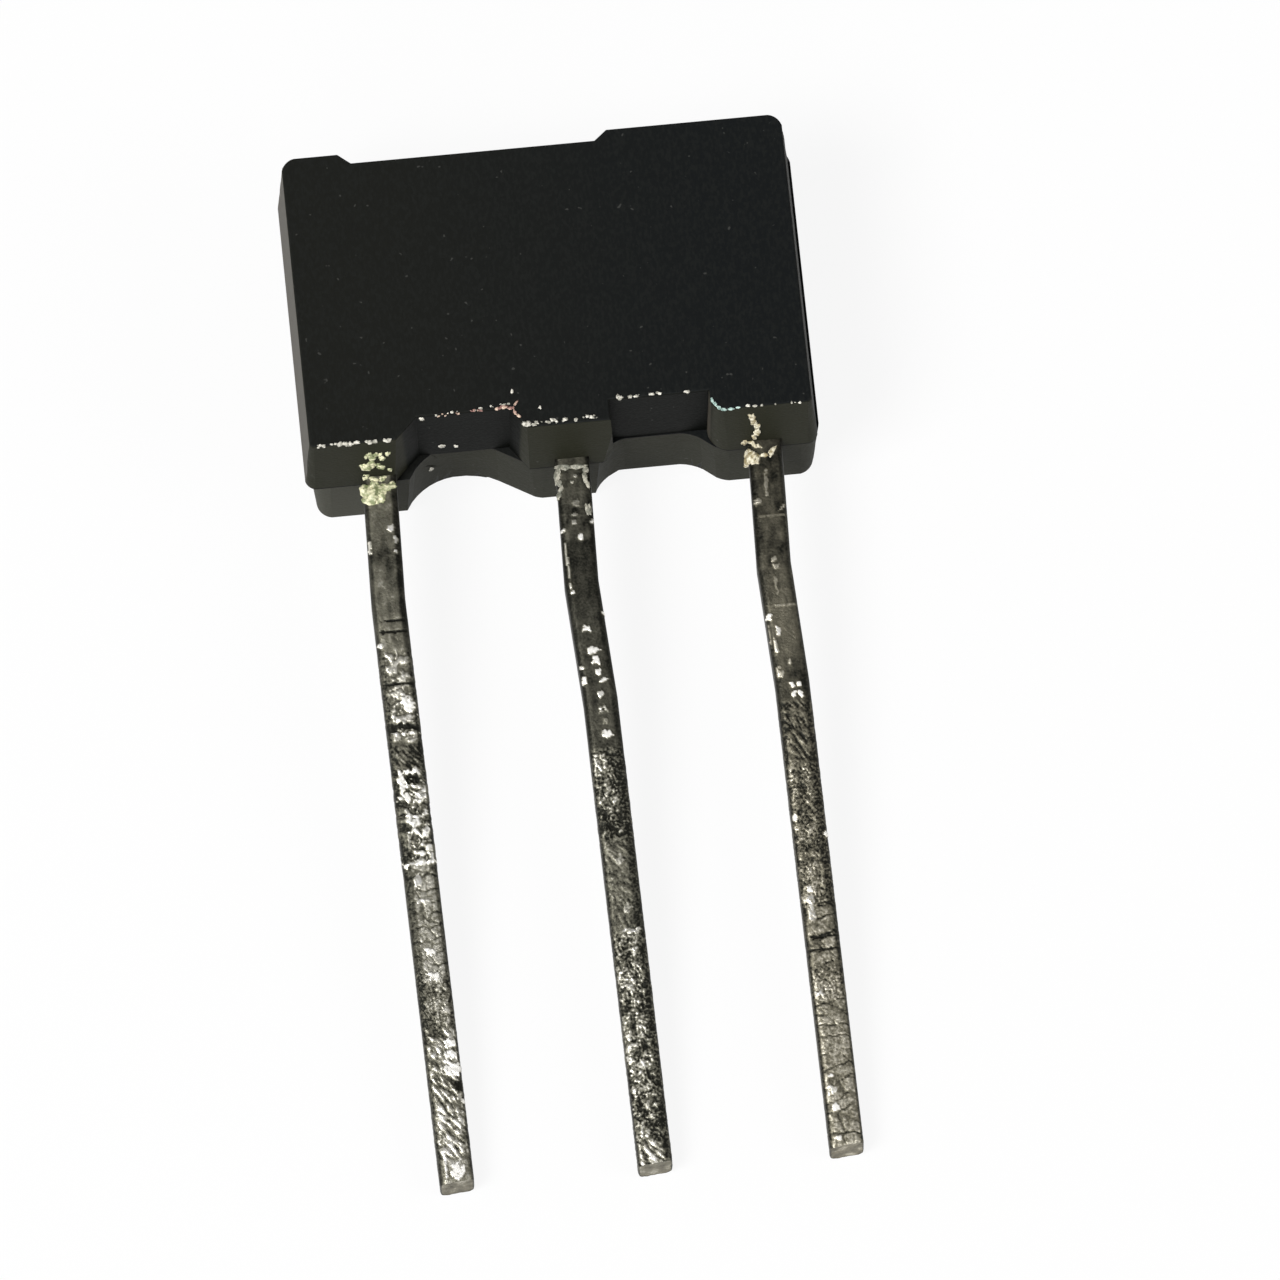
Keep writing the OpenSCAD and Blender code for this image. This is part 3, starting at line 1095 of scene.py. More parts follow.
@dataclass
class Lead:
    """A square lead whose tinned skin is modelled, with its part inside the body.

    The lengths that end in _mm and blend are millimetres, and the others metres.
    seed shifts the noise of the plating.
    """

    node: str
    stretches: tuple[Stretch, ...]
    spots: tuple[Spot, ...]
    seed: float
    finish: Tin = Tin()
    edge: float = 0.085 * MM
    corner_points: int = 5
    side_points: tuple[int, int, int, int] = (24, 14, 14, 14)
    pitch: float = 0.0165 * MM
    inside: float = 0.12 * MM
    post_overlap: float = 0.7
    end_length: float = 0.06 * MM
    slope_length: float = 0.10 * MM
    shear_length: float = 0.4 * MM
    rim: float = 0.03 * MM
    rim_share: float = 0.4
    burr: float = 0.008 * MM
    dent: float = 0.006 * MM
    cap_rings: tuple[float, ...] = (0.93, 0.72, 0.4)
    cap_dulling: float = 0.18
    cap_grit: float = 0.3
    post_bare: float = 0.55
    post_grit: float = 0.1
    blend: float = 0.10
    half_width_mm: float = 0.225
    spot_reach_mm: float = 0.25
    spot_depth_mm: float = 0.03
    spot_edge: Span = (1.12, 0.82)
    spot_lowest: float = -0.2
    wander_mm: float = 0.05
    # band_edge, band_wander, shade_dulling and shade_calm shape the painted shade of the edge
    # bands and flanks.
    band_edge: Span = (1.2, 0.75)
    band_wander: float = 0.03
    shade_dulling: float = 0.8
    shade_calm: float = 0.65
    grit_calm: float = 0.6
    places: list[Vector] = field(init=False, default_factory=list)
    faces: list[tuple[int, ...]] = field(init=False, default_factory=list)
    marks: dict[str, list[float]] = field(
        init=False, default_factory=lambda: {mark: [] for mark in MARKS})
    half_mm: float = field(init=False, default=0.0)

    def build(self) -> bpy.types.Object:
        """Build the lead and dress it.

        Returns:
            The piece, which stands for the node.
        """
        self._outside()
        self._inner_part()
        mesh = bpy.data.meshes.new(self.node + "_skin")
        mesh.from_pydata(self.places, [], self.faces)
        for mark, values in self.marks.items():
            mesh.attributes.new(mark, "FLOAT", "POINT").data.foreach_set("value", values)
        mesh.shade_smooth()
        mesh.set_sharp_from_angle(angle=math.radians(70))
        material = self.finish.material(self.node + "_tin")
        return new_piece(self.node + "_skin", mesh, material, "tinned_lead", self.node)

    def _point(self, place: Vector, *marks: float) -> None:
        """Add a point.

        Args:
            place: Where it is.
            marks: How bare it is, with painted shade and glints, how much of a cut face and how
                gritty it is.
        """
        self.places.append(place)
        for values, value in zip(self.marks.values(), marks):
            values.append(value)

    def _outline(self) -> list[Hang]:
        """Work out the points of a section.

        Returns:
            For each point x and z from -1 to 1 on the core rectangle, then the
            outward direction's x and z.
        """
        points = []
        corners = [(-1, 1, 180), (1, 1, 90), (1, -1, 0), (-1, -1, -90)]
        for number, (x, z, start) in enumerate(corners):
            for step in range(self.corner_points):
                angle = math.radians(start - 90 * (step + 0.5) / self.corner_points)
                points.append((x, z, math.cos(angle), math.sin(angle)))
            next_x, next_z, after = corners[(number + 1) % 4]
            angle = math.radians(after)
            count = self.side_points[number]
            for step in range(1, count + 1):
                part = step / (count + 1)
                points.append((x + (next_x - x) * part, z + (next_z - z) * part,
                               math.cos(angle), math.sin(angle)))
        return points

    def _outside(self) -> None:
        """Wrap rings of points round the node from inside the body to the tip."""
        track = Track(self.node, self.end_length, self.slope_length)
        outline = self._outline()
        start = LEAD_SIDE + self.inside
        rings = round((start - track.tip) / self.pitch)
        for ring in range(rings + 1):
            self._ring(track, outline, start + (track.tip - start) * ring / rings)
            if ring:
                self._join(len(outline))
        self._cap(len(outline))

    def _ring(self, track: Track, outline: list[Hang], y: float) -> None:
        """Add one ring of points.

        Args:
            track: Where the lead runs.
            outline: The points of a section.
            y: Where the ring is.
        """
        left, right, bottom, top = track.section(y)
        left_over = y - track.tip
        along = (LEAD_SIDE - y) / MM
        shear = track.skew * ease(left_over / self.shear_length, 1, 0)
        round_off = ease(left_over / self.rim, 1, 0) * self.rim_share * self.rim
        half_w = (right - left) / 2
        half_t = (top - bottom) / 2
        self.half_mm = half_t / MM
        middle = Vector(((left + right) / 2, y, (bottom + top) / 2))
        most_grit = self._grit(along)
        for x, z, out_x, out_z in outline:
            core = Vector((x * (half_w - self.edge), 0, z * (half_t - self.edge)))
            out = Vector((out_x, 0, out_z))
            local = core + out * self.edge
            across = clip(local.x / half_w, -1.0, 1.0)
            bare, rise = self._skin(along, across, local / MM, out_z)
            shift = Vector((0, shear * (across + 1) / 2, 0))
            shift.z = track.slopes[3] * shift.y
            if left_over < 0.5 * self.rim:
                shift.y += self.burr * noise.noise(local / MM * 14)
            away = out * (rise * MM - round_off)
            grit = most_grit * (1 - self.grit_calm * ease(out_z, *FLANK_TURN))
            self._point(middle + local + away + shift, bare, 0.0, grit)

    def _join(self, count: int) -> None:
        """Join the last two rings with quads.

        Args:
            count: How many points a ring has.
        """
        second = len(self.places) - count
        first = second - count
        for step in range(count):
            after = (step + 1) % count
            self.faces.append((first + step, first + after, second + after, second + step))

    def _cap(self, count: int) -> None:
        """Close the tip with a cut face that its shearing has left uneven.

        Args:
            count: How many points a ring has.
        """
        edge = self.places[-count:]
        centre = sum(edge, Vector()) / count
        bare = self.stretches[-1].bare - self.cap_dulling
        for share in self.cap_rings:
            for place in edge:
                point = centre.lerp(place, share)
                rough = noise.noise(point / MM * 9 + Vector((self.seed, 0, 0)))
                point.y += self.dent + self.dent * rough
                self._point(point, bare + 0.5 * rough, 1.0, self.cap_grit)
            self._join(count)
        self._point(centre + Vector((0, self.dent, 0)), bare, 1.0, self.cap_grit)
        middle = len(self.places) - 1
        for step in range(count):
            ring = middle - count
            self.faces.append((ring + step, ring + (step + 1) % count, middle))

    def _inner_part(self) -> None:
        """Keep the node's own mesh for the pad or post inside the body."""
        work = bmesh.new()
        work.from_mesh(bpy.data.objects[self.node].data)
        bmesh.ops.remove_doubles(work, verts=work.verts, dist=SAME_PLACE)
        cut_at = Vector((0, LEAD_SIDE + self.inside * self.post_overlap, 0))
        geometry = [*work.verts, *work.edges, *work.faces]
        cut = bmesh.ops.bisect_plane(
            work, geom=geometry, plane_co=cut_at, plane_no=(0, -1, 0), clear_outer=True)
        rim = [part for part in cut["geom_cut"] if isinstance(part, bmesh.types.BMEdge)]
        bmesh.ops.edgeloop_fill(work, edges=rim)
        work.verts.index_update()
        base = len(self.places)
        for vertex in work.verts:
            self._point(vertex.co.copy(), self.post_bare, 0.0, self.post_grit)
        for face in work.faces:
            self.faces.append(tuple(base + vertex.index for vertex in face.verts))
        work.free()

    def _number(self, along: float) -> int:
        """Return the number of the stretch that is this far from the body."""
        return max(i for i, one in enumerate(self.stretches) if one.start <= along or not i)

    def _grit(self, along: float) -> float:
        """Find how gritty the plating is.

        Args:
            along: The distance from the body in millimetres.

        Returns:
            The grit, from 0 to 1, blended where two stretches meet.
        """
        number = self._number(along)
        grit = GRIT[self.stretches[number].plating]
        if not number:
            return grit
        here = ease(along - self.stretches[number].start, 0, self.blend)
        before = GRIT[self.stretches[number - 1].plating]
        return before + (grit - before) * here

    def _skin(self, along: float, across: float, local: Vector,
              upward: float) -> tuple[float, float]:
        """Find how bare the tin is, with painted shade and glints, and how far it stands out.

        Args:
            along: The distance from the body in millimetres.
            across: The place across the lead, from -1 to 1.
            local: The place round the lead's middle line in millimetres.
            upward: The z part of the outward direction.

        Returns:
            Bareness, from 0 for tarnished to 1 for bright, with painted shade on the edge
            bands and flanks and painted glints in the spots, and the rise in millimetres.
        """
        place = Vector((local.x + self.seed, along, local.z))
        wander = along + self.wander_mm * noise.noise(place * 5)
        number = self._number(wander)
        bare, rise = self._tin(self.stretches[number], place, across, upward)
        if number:
            here = ease(wander - self.stretches[number].start, 0, self.blend)
            if here < 1:
                old = self._tin(self.stretches[number - 1], place, across, upward)
                bare = old[0] + (bare - old[0]) * here
                rise = old[1] + (rise - old[1]) * here
        if upward > self.spot_lowest:
            for spot in self.spots:
                bare, rise = self._fleck(spot, along, across, place, bare, rise)
        return bare, rise

    def _fleck(self, spot: Spot, along: float, across: float, place: Vector,
               bare: float, rise: float) -> tuple[float, float]:
        """Lay one spot over the tin.

        Args:
            spot: The spot.
            along: The distance from the body in millimetres.
            across: The place across the lead, from -1 to 1.
            place: The place that the noise is taken at.
            bare: How bare the tin under the spot is.
            rise: How far the tin under the spot stands out.

        Returns:
            Bareness and rise with the spot.
        """
        step = along - spot.along
        if abs(step) > spot.long + self.spot_reach_mm:
            return bare, rise
        side = (across - spot.across) * self.half_width_mm + spot.slant * step
        side = abs(side) + max(0.0, self.half_mm - self.spot_depth_mm - place.z)
        rough = 0.8 * noise.noise(place * 13) + 0.7 * noise.noise(place * 29)
        reach = (abs(2 * step / spot.long), 2 * side / spot.wide)
        far = 0.45 * math.hypot(*reach) + 0.55 * max(reach) + rough
        amount = ease(far, *self.spot_edge)
        return bare + (spot.bare - bare) * amount, rise + 0.5 * spot.rise * amount

    def _tin(self, stretch: Stretch, place: Vector, across: float,
             upward: float) -> tuple[float, float]:
        """Find the bareness and the rise that one kind of plating gives.

        Args:
            stretch: The stretch of the lead.
            place: The place that the noise is taken at.
            across: The place across the lead, from -1 to 1.
            upward: The z part of the outward direction.

        Returns:
            Bareness and rise, with the painted shade of the dark edge bands and the flanks.
        """
        tone, relief = PATTERNS[stretch.plating](place)
        # Painted shade: the bands along the lead's two edges and its flanks are darkened.
        part = (across + 1) / 2 + self.band_wander * noise.noise(place * 6)
        outer, inner = self.band_edge
        band = max(ease(part, stretch.left * outer, stretch.left * inner),
                   ease(1 - part, stretch.right * outer, stretch.right * inner))
        shade = max(band, ease(upward, *FLANK_TURN))
        bare = stretch.bare * (1 - self.shade_dulling * shade)
        bare += stretch.contrast * tone * (1 - self.shade_calm * shade)
        return bare, stretch.relief * relief * (1 - 0.5 * band)


# In the patterns a place is multiplied by the waves that it gets in a millimetre, and
# each noise by its share of the tone or the relief.
SCALE_SLANT = 0.62
CRACKS_PER_MM = 5.6
CRACK_START = 0.84
CRACK_BLUR = 0.1


def satin(place: Vector) -> tuple[float, float]:
    """Grow smooth clouded tin.

    Args:
        place: The place in millimetres.

    Returns:
        Tone and relief, both about -1 to 1.
    """
    cloud = noise.noise(place * 2.4)
    patch = noise.noise(place * 7.5)
    streak = noise.noise(stretched(place, 15, 4.5))
    fine = noise.noise(place * 28)
    return 0.6 * cloud + 0.6 * patch + 0.55 * streak + 0.3 * fine, 0.3 * cloud + 0.25 * streak


def blocks(place: Vector) -> tuple[float, float]:
    """Grow bright blots and curls between dark grooves.

    Args:
        place: The place in millimetres.

    Returns:
        Tone and relief, both about -1 to 1.
    """
    warp = noise.noise_vector(place * 11) * 0.55
    spot = stretched(place, 8, 9.5) + warp
    blot = clip(noise.noise(spot) * 5, 0, 1)
    curl = clip(1.3 - abs(noise.noise(spot * 1.35 + Vector((5, 5, 5)))) * 11, 0, 1)
    groove = clip(1.0 - abs(noise.noise(Vector((3, place.y * 6, place.x * 2)))) * 16, 0, 1)
    body = max(blot, 0.85 * curl) * (1 - 0.8 * groove)
    fine = noise.noise(place * 26)
    return clip(-0.95 + 1.9 * body + 0.7 * fine), 1.4 * body - 0.6 + 0.2 * fine


def scales(place: Vector) -> tuple[float, float]:
    """Grow fine slanting scales.

    Args:
        place: The place in millimetres.

    Returns:
        Tone and relief, both about -1 to 1.
    """
    warp = noise.noise_vector(place * 3.5) * 1.3
    across = place.x - SCALE_SLANT * place.y
    streak = noise.noise(Vector((across * 20, place.y * 9, place.z * 20)) + warp)
    hair = noise.noise(Vector((across * 38, place.y * 16, place.z * 38)) + warp)
    patch = noise.noise(place * 3)
    tone = clip(2.2 * streak + 1.2 * hair + 0.6 * patch)
    return tone, clip(1.4 * streak + 0.6 * hair)


def crinkles(place: Vector) -> tuple[float, float]:
    """Grow salt-and-pepper tin.

    Args:
        place: The place in millimetres.

    Returns:
        Tone and relief, both about -1 to 1.
    """
    warp = noise.noise_vector(place * 9) * 0.5
    coarse = noise.noise(place * 10 + warp)
    worm = clip(1 - 6 * abs(noise.noise(stretched(place, 19, 16) + warp)))
    fine = noise.noise(place * 30)
    patch = noise.noise(place * 3)
    tone = clip(1.2 * coarse + 0.4 * worm + 1.0 * fine + 0.7 * patch)
    return tone, 0.7 * coarse + 0.5 * fine + 0.35 * worm


def cracks(place: Vector) -> tuple[float, float]:
    """Grow a dull skin with dark cracks across.

    Args:
        place: The place in millimetres.

    Returns:
        Tone and relief, both about -1 to 1.
    """
    bend = 0.7 * noise.noise(Vector((place.x * 2.6, place.y * 1.9, place.z)))
    bend += 0.2 * noise.noise(place * 11)
    wave = place.y * CRACKS_PER_MM + 1.2 * place.x + bend
    near = abs(wave - math.floor(wave) - 0.5) * 2
    there = clip(0.85 + 2.0 * noise.noise(Vector((place.x * 4.5, place.y * 3.1, 4))), 0, 1)
    line = clip((near - CRACK_START) / CRACK_BLUR, 0, 1) * there
    slant = abs(noise.noise(Vector((place.x * 3 - place.y * 2, place.y * 1.5, 9))))
    line = max(line, clip(1 - 26 * slant, 0, 1) * 0.55)
    cloud = noise.noise(place * 6)
    fine = noise.noise(place * 17)
    grit = noise.noise(place * 33)
    tone = 0.45 * cloud + 0.6 * fine + 0.6 * grit - 1.9 * line
    return clip(tone, -1.5), 0.25 * cloud + 0.25 * fine - 1.0 * line


PATTERNS: dict[Plating, Callable[[Vector], tuple[float, float]]] = {
    Plating.SATIN: satin,
    Plating.BLOCKS: blocks,
    Plating.SCALES: scales,
    Plating.CRINKLES: crinkles,
    Plating.CRACKS: cracks,
}
GRIT: dict[Plating, float] = {
    Plating.SATIN: 0.04,
    Plating.BLOCKS: 0.35,
    Plating.SCALES: 0.4,
    Plating.CRINKLES: 0.75,
    Plating.CRACKS: 0.28,
}


def emitter_lead() -> Lead:
    """Describe the left lead's plating and spots.

    Returns:
        The lead.
    """
    stretches = (
        Stretch(-1.0, Plating.SATIN, 0.34, 0.14, 0.20, 0.006, 0.34),
        Stretch(1.62, Plating.SATIN, 0.40, 0.14, 0.20, 0.010, 0.38),
        Stretch(2.38, Plating.BLOCKS, 0.57, 0.18, 0.14, 0.010, 0.27),
        Stretch(3.62, Plating.SCALES, 0.20, 0.10, 0.10, 0.006, 0.30),
        Stretch(4.00, Plating.BLOCKS, 0.58, 0.26, 0.08, 0.014, 0.46),
        Stretch(5.25, Plating.CRACKS, 0.62, 0.24, 0.12, 0.008, 0.36),
        Stretch(6.70, Plating.CRINKLES, 0.44, 0.20, 0.12, 0.008, 0.32),
        Stretch(7.45, Plating.SCALES, 0.54, 0.10, 0.08, 0.009, 0.40),
        Stretch(9.20, Plating.SATIN, 0.50, 0.10, 0.10, 0.010, 0.60),
    )
    spots = (
        Spot(0.74, 0.47, 0.09, 0.09),
        Spot(0.91, 0.66, 0.12, 0.05),
        Spot(1.06, 0.68, 0.06, 0.05),
        Spot(0.98, -0.90, 0.16, 0.05, 0.9),
        Spot(2.02, 0.30, 0.035, 0.34, -0.1, -0.012, 0.25),
        Spot(2.17, 0.05, 0.04, 0.40, -0.1, -0.012, 0.25),
        Spot(2.34, -0.75, 0.05, 0.09, 1.0),
        Spot(2.87, 0.0, 0.035, 0.36, -0.2, -0.014, 0.10),
        Spot(3.16, 0.45, 0.22, 0.13, 1.1, 0.020),
        Spot(3.34, 0.05, 0.09, 0.30, 0.9, 0.014, 0.30),
        Spot(3.46, 0.05, 0.09, 0.40, -0.1, -0.014, 0.15),
        Spot(3.54, 0.10, 0.035, 0.34, 1.0, 0.012, 0.28),
        Spot(4.16, -0.45, 0.26, 0.09, 1.15, 0.024),
        Spot(4.06, 0.10, 0.07, 0.26, 1.1, 0.020),
        Spot(4.17, 0.20, 0.14, 0.16, -0.1, -0.010),
        Spot(4.26, 0.35, 0.06, 0.14, 0.95, 0.016),
        Spot(4.38, -0.38, 0.11, 0.14, 1.1, 0.020),
        Spot(4.42, 0.45, 0.11, 0.12, 0.9, 0.016),
        Spot(5.28, 0.05, 0.05, 0.42, 1.0, 0.016, 0.35),
        Spot(5.32, -0.85, 0.07, 0.09, 1.1, 0.016),
        Spot(5.52, -0.20, 0.16, 0.10, 0.95),
        Spot(5.80, 0.10, 0.05, 0.16, 1.0),
        Spot(6.48, 0.10, 0.08, 0.12, 1.1),
        Spot(6.81, 0.15, 0.09, 0.12, 1.1),
        Spot(7.70, 0.50, 0.11, 0.13, 1.15, 0.028),
        Spot(7.86, 0.55, 0.10, 0.14, 1.1, 0.026),
        Spot(8.05, 0.60, 0.16, 0.17, 1.2, 0.032),
        Spot(8.28, 0.70, 0.14, 0.10, -0.1, -0.010),
        Spot(8.48, 0.85, 0.07, 0.09, 1.1, 0.016),
        Spot(9.30, -0.55, 0.40, 0.035, 1.0, 0.010),
        Spot(9.42, 0.05, 0.22, 0.16, 1.1, 0.012),
    )
    return Lead("emitter_lead", stretches, spots, 3.7)


def collector_lead() -> Lead:
    """Describe the middle lead's plating and spots.

    Returns:
        The lead.
    """
    stretches = (
        Stretch(-1.0, Plating.SATIN, 0.18, 0.10, 0.12, 0.006, 0.26),
        Stretch(0.46, Plating.SATIN, 0.13, 0.12, 0.14, 0.012, 0.30),
        Stretch(1.15, Plating.SATIN, 0.07, 0.12, 0.12, 0.004, 0.09),
        Stretch(2.12, Plating.SATIN, 0.11, 0.12, 0.18, 0.006, 0.14),
        Stretch(3.95, Plating.CRINKLES, 0.33, 0.10, 0.32, 0.012, 0.55),
        Stretch(5.15, Plating.SCALES, 0.27, 0.06, 0.28, 0.005, 0.16),
        Stretch(6.42, Plating.CRINKLES, 0.45, 0.05, 0.24, 0.012, 0.60),
        Stretch(9.20, Plating.SCALES, 0.50, 0.08, 0.22, 0.010, 0.45),
    )
    spots = (
        Spot(0.24, 0.10, 0.05, 0.05, 0.7),
        Spot(0.63, -0.05, 0.10, 0.09, 0.55),
        Spot(0.78, -0.12, 0.06, 0.08, 0.7),
        Spot(0.90, -0.15, 0.05, 0.07, 0.8),
        Spot(0.71, 0.85, 0.12, 0.07, 0.6),
        Spot(0.90, 0.92, 0.07, 0.07, 1.2, 0.020),
        Spot(1.00, -0.92, 0.05, 0.08, 1.2, 0.018),
        Spot(1.11, 0.15, 0.07, 0.06, 1.1),
        Spot(1.22, -0.78, 0.14, 0.025, 0.9, 0.008),
        Spot(1.40, -0.74, 0.16, 0.025, 0.8, 0.008),
        Spot(1.60, -0.70, 0.20, 0.025, 0.8, 0.008),
        Spot(1.78, -0.66, 0.10, 0.030, 1.0, 0.008),
        Spot(1.86, -0.62, 0.04, 0.04, 1.1, 0.008),
        Spot(2.18, 0.94, 0.06, 0.09, 1.2, 0.022),
        Spot(2.36, -0.10, 0.08, 0.10, 1.2, 0.016, 0.5),
        Spot(2.67, 0.02, 0.11, 0.13, 1.2, 0.020),
        Spot(2.80, 0.06, 0.10, 0.08, 1.15, 0.018),
        Spot(2.97, 0.10, 0.08, 0.08, 1.15, 0.018),
        Spot(2.88, -0.85, 0.06, 0.07, 1.0),
        Spot(3.06, -0.80, 0.10, 0.07, 1.2, 0.018),
        Spot(3.08, 0.36, 0.05, 0.12, 1.2, 0.016, 0.8),
        Spot(3.26, 0.08, 0.10, 0.08, 1.0, 0.014),
        Spot(3.46, 0.08, 0.09, 0.10, 0.85, 0.014),
        Spot(3.47, 0.08, 0.03, 0.03, 0.1, -0.006),
        Spot(3.62, 0.14, 0.06, 0.06, 0.5),
        Spot(3.80, 0.12, 0.09, 0.12, 1.15, 0.018),
        Spot(5.50, 0.0, 0.14, 0.10, 0.65, 0.006),
        Spot(6.15, 0.1, 0.14, 0.10, 0.65, 0.006),
        Spot(6.44, 0.20, 0.07, 0.20, 0.95, 0.012),
    )
    return Lead("collector_lead", stretches, spots, 11.3)


def base_lead() -> Lead:
    """Describe the right lead's plating and spots.

    Returns:
        The lead.
    """
    stretches = (
        Stretch(-1.0, Plating.SATIN, 0.18, 0.16, 0.12, 0.008, 0.26),
        Stretch(0.80, Plating.SATIN, 0.15, 0.12, 0.14, 0.008, 0.26),
        Stretch(2.24, Plating.SATIN, 0.24, 0.12, 0.10, 0.005, 0.16),
        Stretch(2.95, Plating.SATIN, 0.13, 0.20, 0.14, 0.006, 0.22),
        Stretch(3.55, Plating.SCALES, 0.19, 0.12, 0.20, 0.007, 0.25),
        Stretch(4.40, Plating.CRINKLES, 0.35, 0.06, 0.28, 0.010, 0.32),
        Stretch(6.30, Plating.CRACKS, 0.47, 0.10, 0.14, 0.010, 0.44),
        Stretch(7.10, Plating.CRINKLES, 0.46, 0.08, 0.12, 0.008, 0.28),
        Stretch(7.55, Plating.CRACKS, 0.54, 0.08, 0.08, 0.008, 0.34),
    )
    spots = (
        Spot(0.62, -0.10, 0.30, 0.05, 0.6, 0.008),
        Spot(0.84, -0.72, 0.07, 0.09, 0.75, 0.012),
        Spot(0.96, 0.72, 0.10, 0.04, 0.8, 0.008, 0.9),
        Spot(0.72, -0.98, 0.05, 0.10, -0.1, -0.020),
        Spot(1.06, 0.10, 0.03, 0.30, 0.5, 0.004, 0.15),
        Spot(1.66, 0.02, 0.07, 0.06, 0.7),
        Spot(1.76, 0.10, 0.06, 0.07, 0.65),
        Spot(2.02, -0.08, 0.24, 0.04, 0.55, 0.004),
        Spot(2.30, 0.10, 0.03, 0.30, 0.55, 0.006, 0.12),
        Spot(2.43, -0.86, 0.09, 0.09, 1.2, 0.024),
        Spot(2.64, -0.35, 0.13, 0.06, 1.0, 0.010),
        Spot(2.84, -0.62, 0.22, 0.045, 0.9, 0.010),
        Spot(2.72, -0.92, 0.26, 0.04, 0.7, 0.008),
        Spot(3.04, 0.05, 0.09, 0.05, 0.8, 0.008),
        Spot(3.20, -0.70, 0.12, 0.10, 0.8, 0.010),
        Spot(3.37, -0.02, 0.07, 0.06, 1.3, 0.016),
        Spot(3.37, 0.36, 0.07, 0.06, 1.3, 0.016),
        Spot(3.50, 0.04, 0.08, 0.06, 1.3, 0.016),
        Spot(3.50, 0.42, 0.08, 0.06, 1.3, 0.016),
        Spot(5.12, -0.80, 0.10, 0.05, 1.1, 0.010),
        Spot(5.40, 0.94, 0.05, 0.09, 1.2, 0.020),
        Spot(6.12, -0.42, 0.09, 0.07, 1.1, 0.012),
        Spot(6.36, -0.42, 0.30, 0.08, 0.95, 0.012),
        Spot(6.76, 0.05, 0.03, 0.40, -0.1, -0.014, 0.35),
        Spot(6.93, 0.05, 0.03, 0.40, -0.1, -0.014, 0.20),
        Spot(7.52, -0.55, 0.07, 0.10, 1.0, 0.012),
        Spot(8.62, -0.45, 0.05, 0.14, 1.1, 0.012),
        Spot(8.80, -0.40, 0.10, 0.12, 1.0, 0.014),
        Spot(9.05, -0.35, 0.09, 0.08, 1.1, 0.014),
        Spot(9.45, -0.45, 0.07, 0.08, 1.1, 0.014),
    )
    finish = Tin(dull=(0.215, 0.198, 0.146), bright=(0.84, 0.79, 0.66))
    return Lead("base_lead", stretches, spots, 21.9, finish)


# ---- Deposits ----


@dataclass(frozen=True)
class Lump:
    """One lump of a deposit: the pixel that sees it, its size in pixels and its turn.

    thick is the lump's height over the surface as a part of its smaller side, and
    turn is in degrees, against the clock.
    """

    x: float
    y: float
    wide: float
    high: float
    turn: float = 0.0
    thick: float = 0.45


@dataclass(frozen=True)
class Row:
    """A row of small lumps between two pixels."""

    start: tuple[float, float]
    end: tuple[float, float]
    count: int
    size: float
    scatter: float = 1.2
    smallest: float = 0.35
    longest: float = 1.9

    def lumps(self, chance: random.Random) -> list[Lump]:
        """Scatter the row's lumps.

        Args:
            chance: The seeded generator that scatters them.

        Returns:
            The lumps.
        """
        made = []
        for _ in range(self.count):
            part = chance.random()
            x = self.start[0] + (self.end[0] - self.start[0]) * part
            y = self.start[1] + (self.end[1] - self.start[1]) * part
            size = self.size * chance.uniform(self.smallest, 1.0) ** 1.5 * 1.5
            made.append(Lump(
                x, y + chance.uniform(-self.scatter, self.scatter),
                size * chance.uniform(0.9, self.longest), size, chance.uniform(-25, 35)))
        return made


class Ground:
    """What deposits stick to, seen through the camera's pixels."""

    def __init__(self, view: Viewpoint, carriers: list[bpy.types.Object]) -> None:
        """Prepare the carriers for rays from the camera.

        Args:
            view: The camera that the pixels belong to.
            carriers: The pieces that deposits may stick to.
        """
        self.view = view
        self.trees = []
        for carrier in carriers:
            mesh = carrier.data
            places = [vertex.co for vertex in mesh.vertices]
            faces = [tuple(polygon.vertices) for polygon in mesh.polygons]
            self.trees.append(BVHTree.FromPolygons(places, faces))

    def under(self, x: float, y: float) -> tuple[Vector, Vector]:
        """Find what a pixel sees.

        Args:
            x: The pixel's column.
            y: The pixel's row.

        Returns:
            The place on the nearest carrier and its normal, which faces the camera.
        """
        start, way = self.view.ray((x, y))
        hits = [tree.ray_cast(start, way) for tree in self.trees]
        hits = [hit for hit in hits if hit[0] is not None]
        if not hits:
            raise ValueError(f"pixel {x}, {y} sees no carrier")
        place, normal, _, _ = min(hits, key=lambda hit: hit[3])
        return place, normal if normal.dot(way) < 0 else -normal


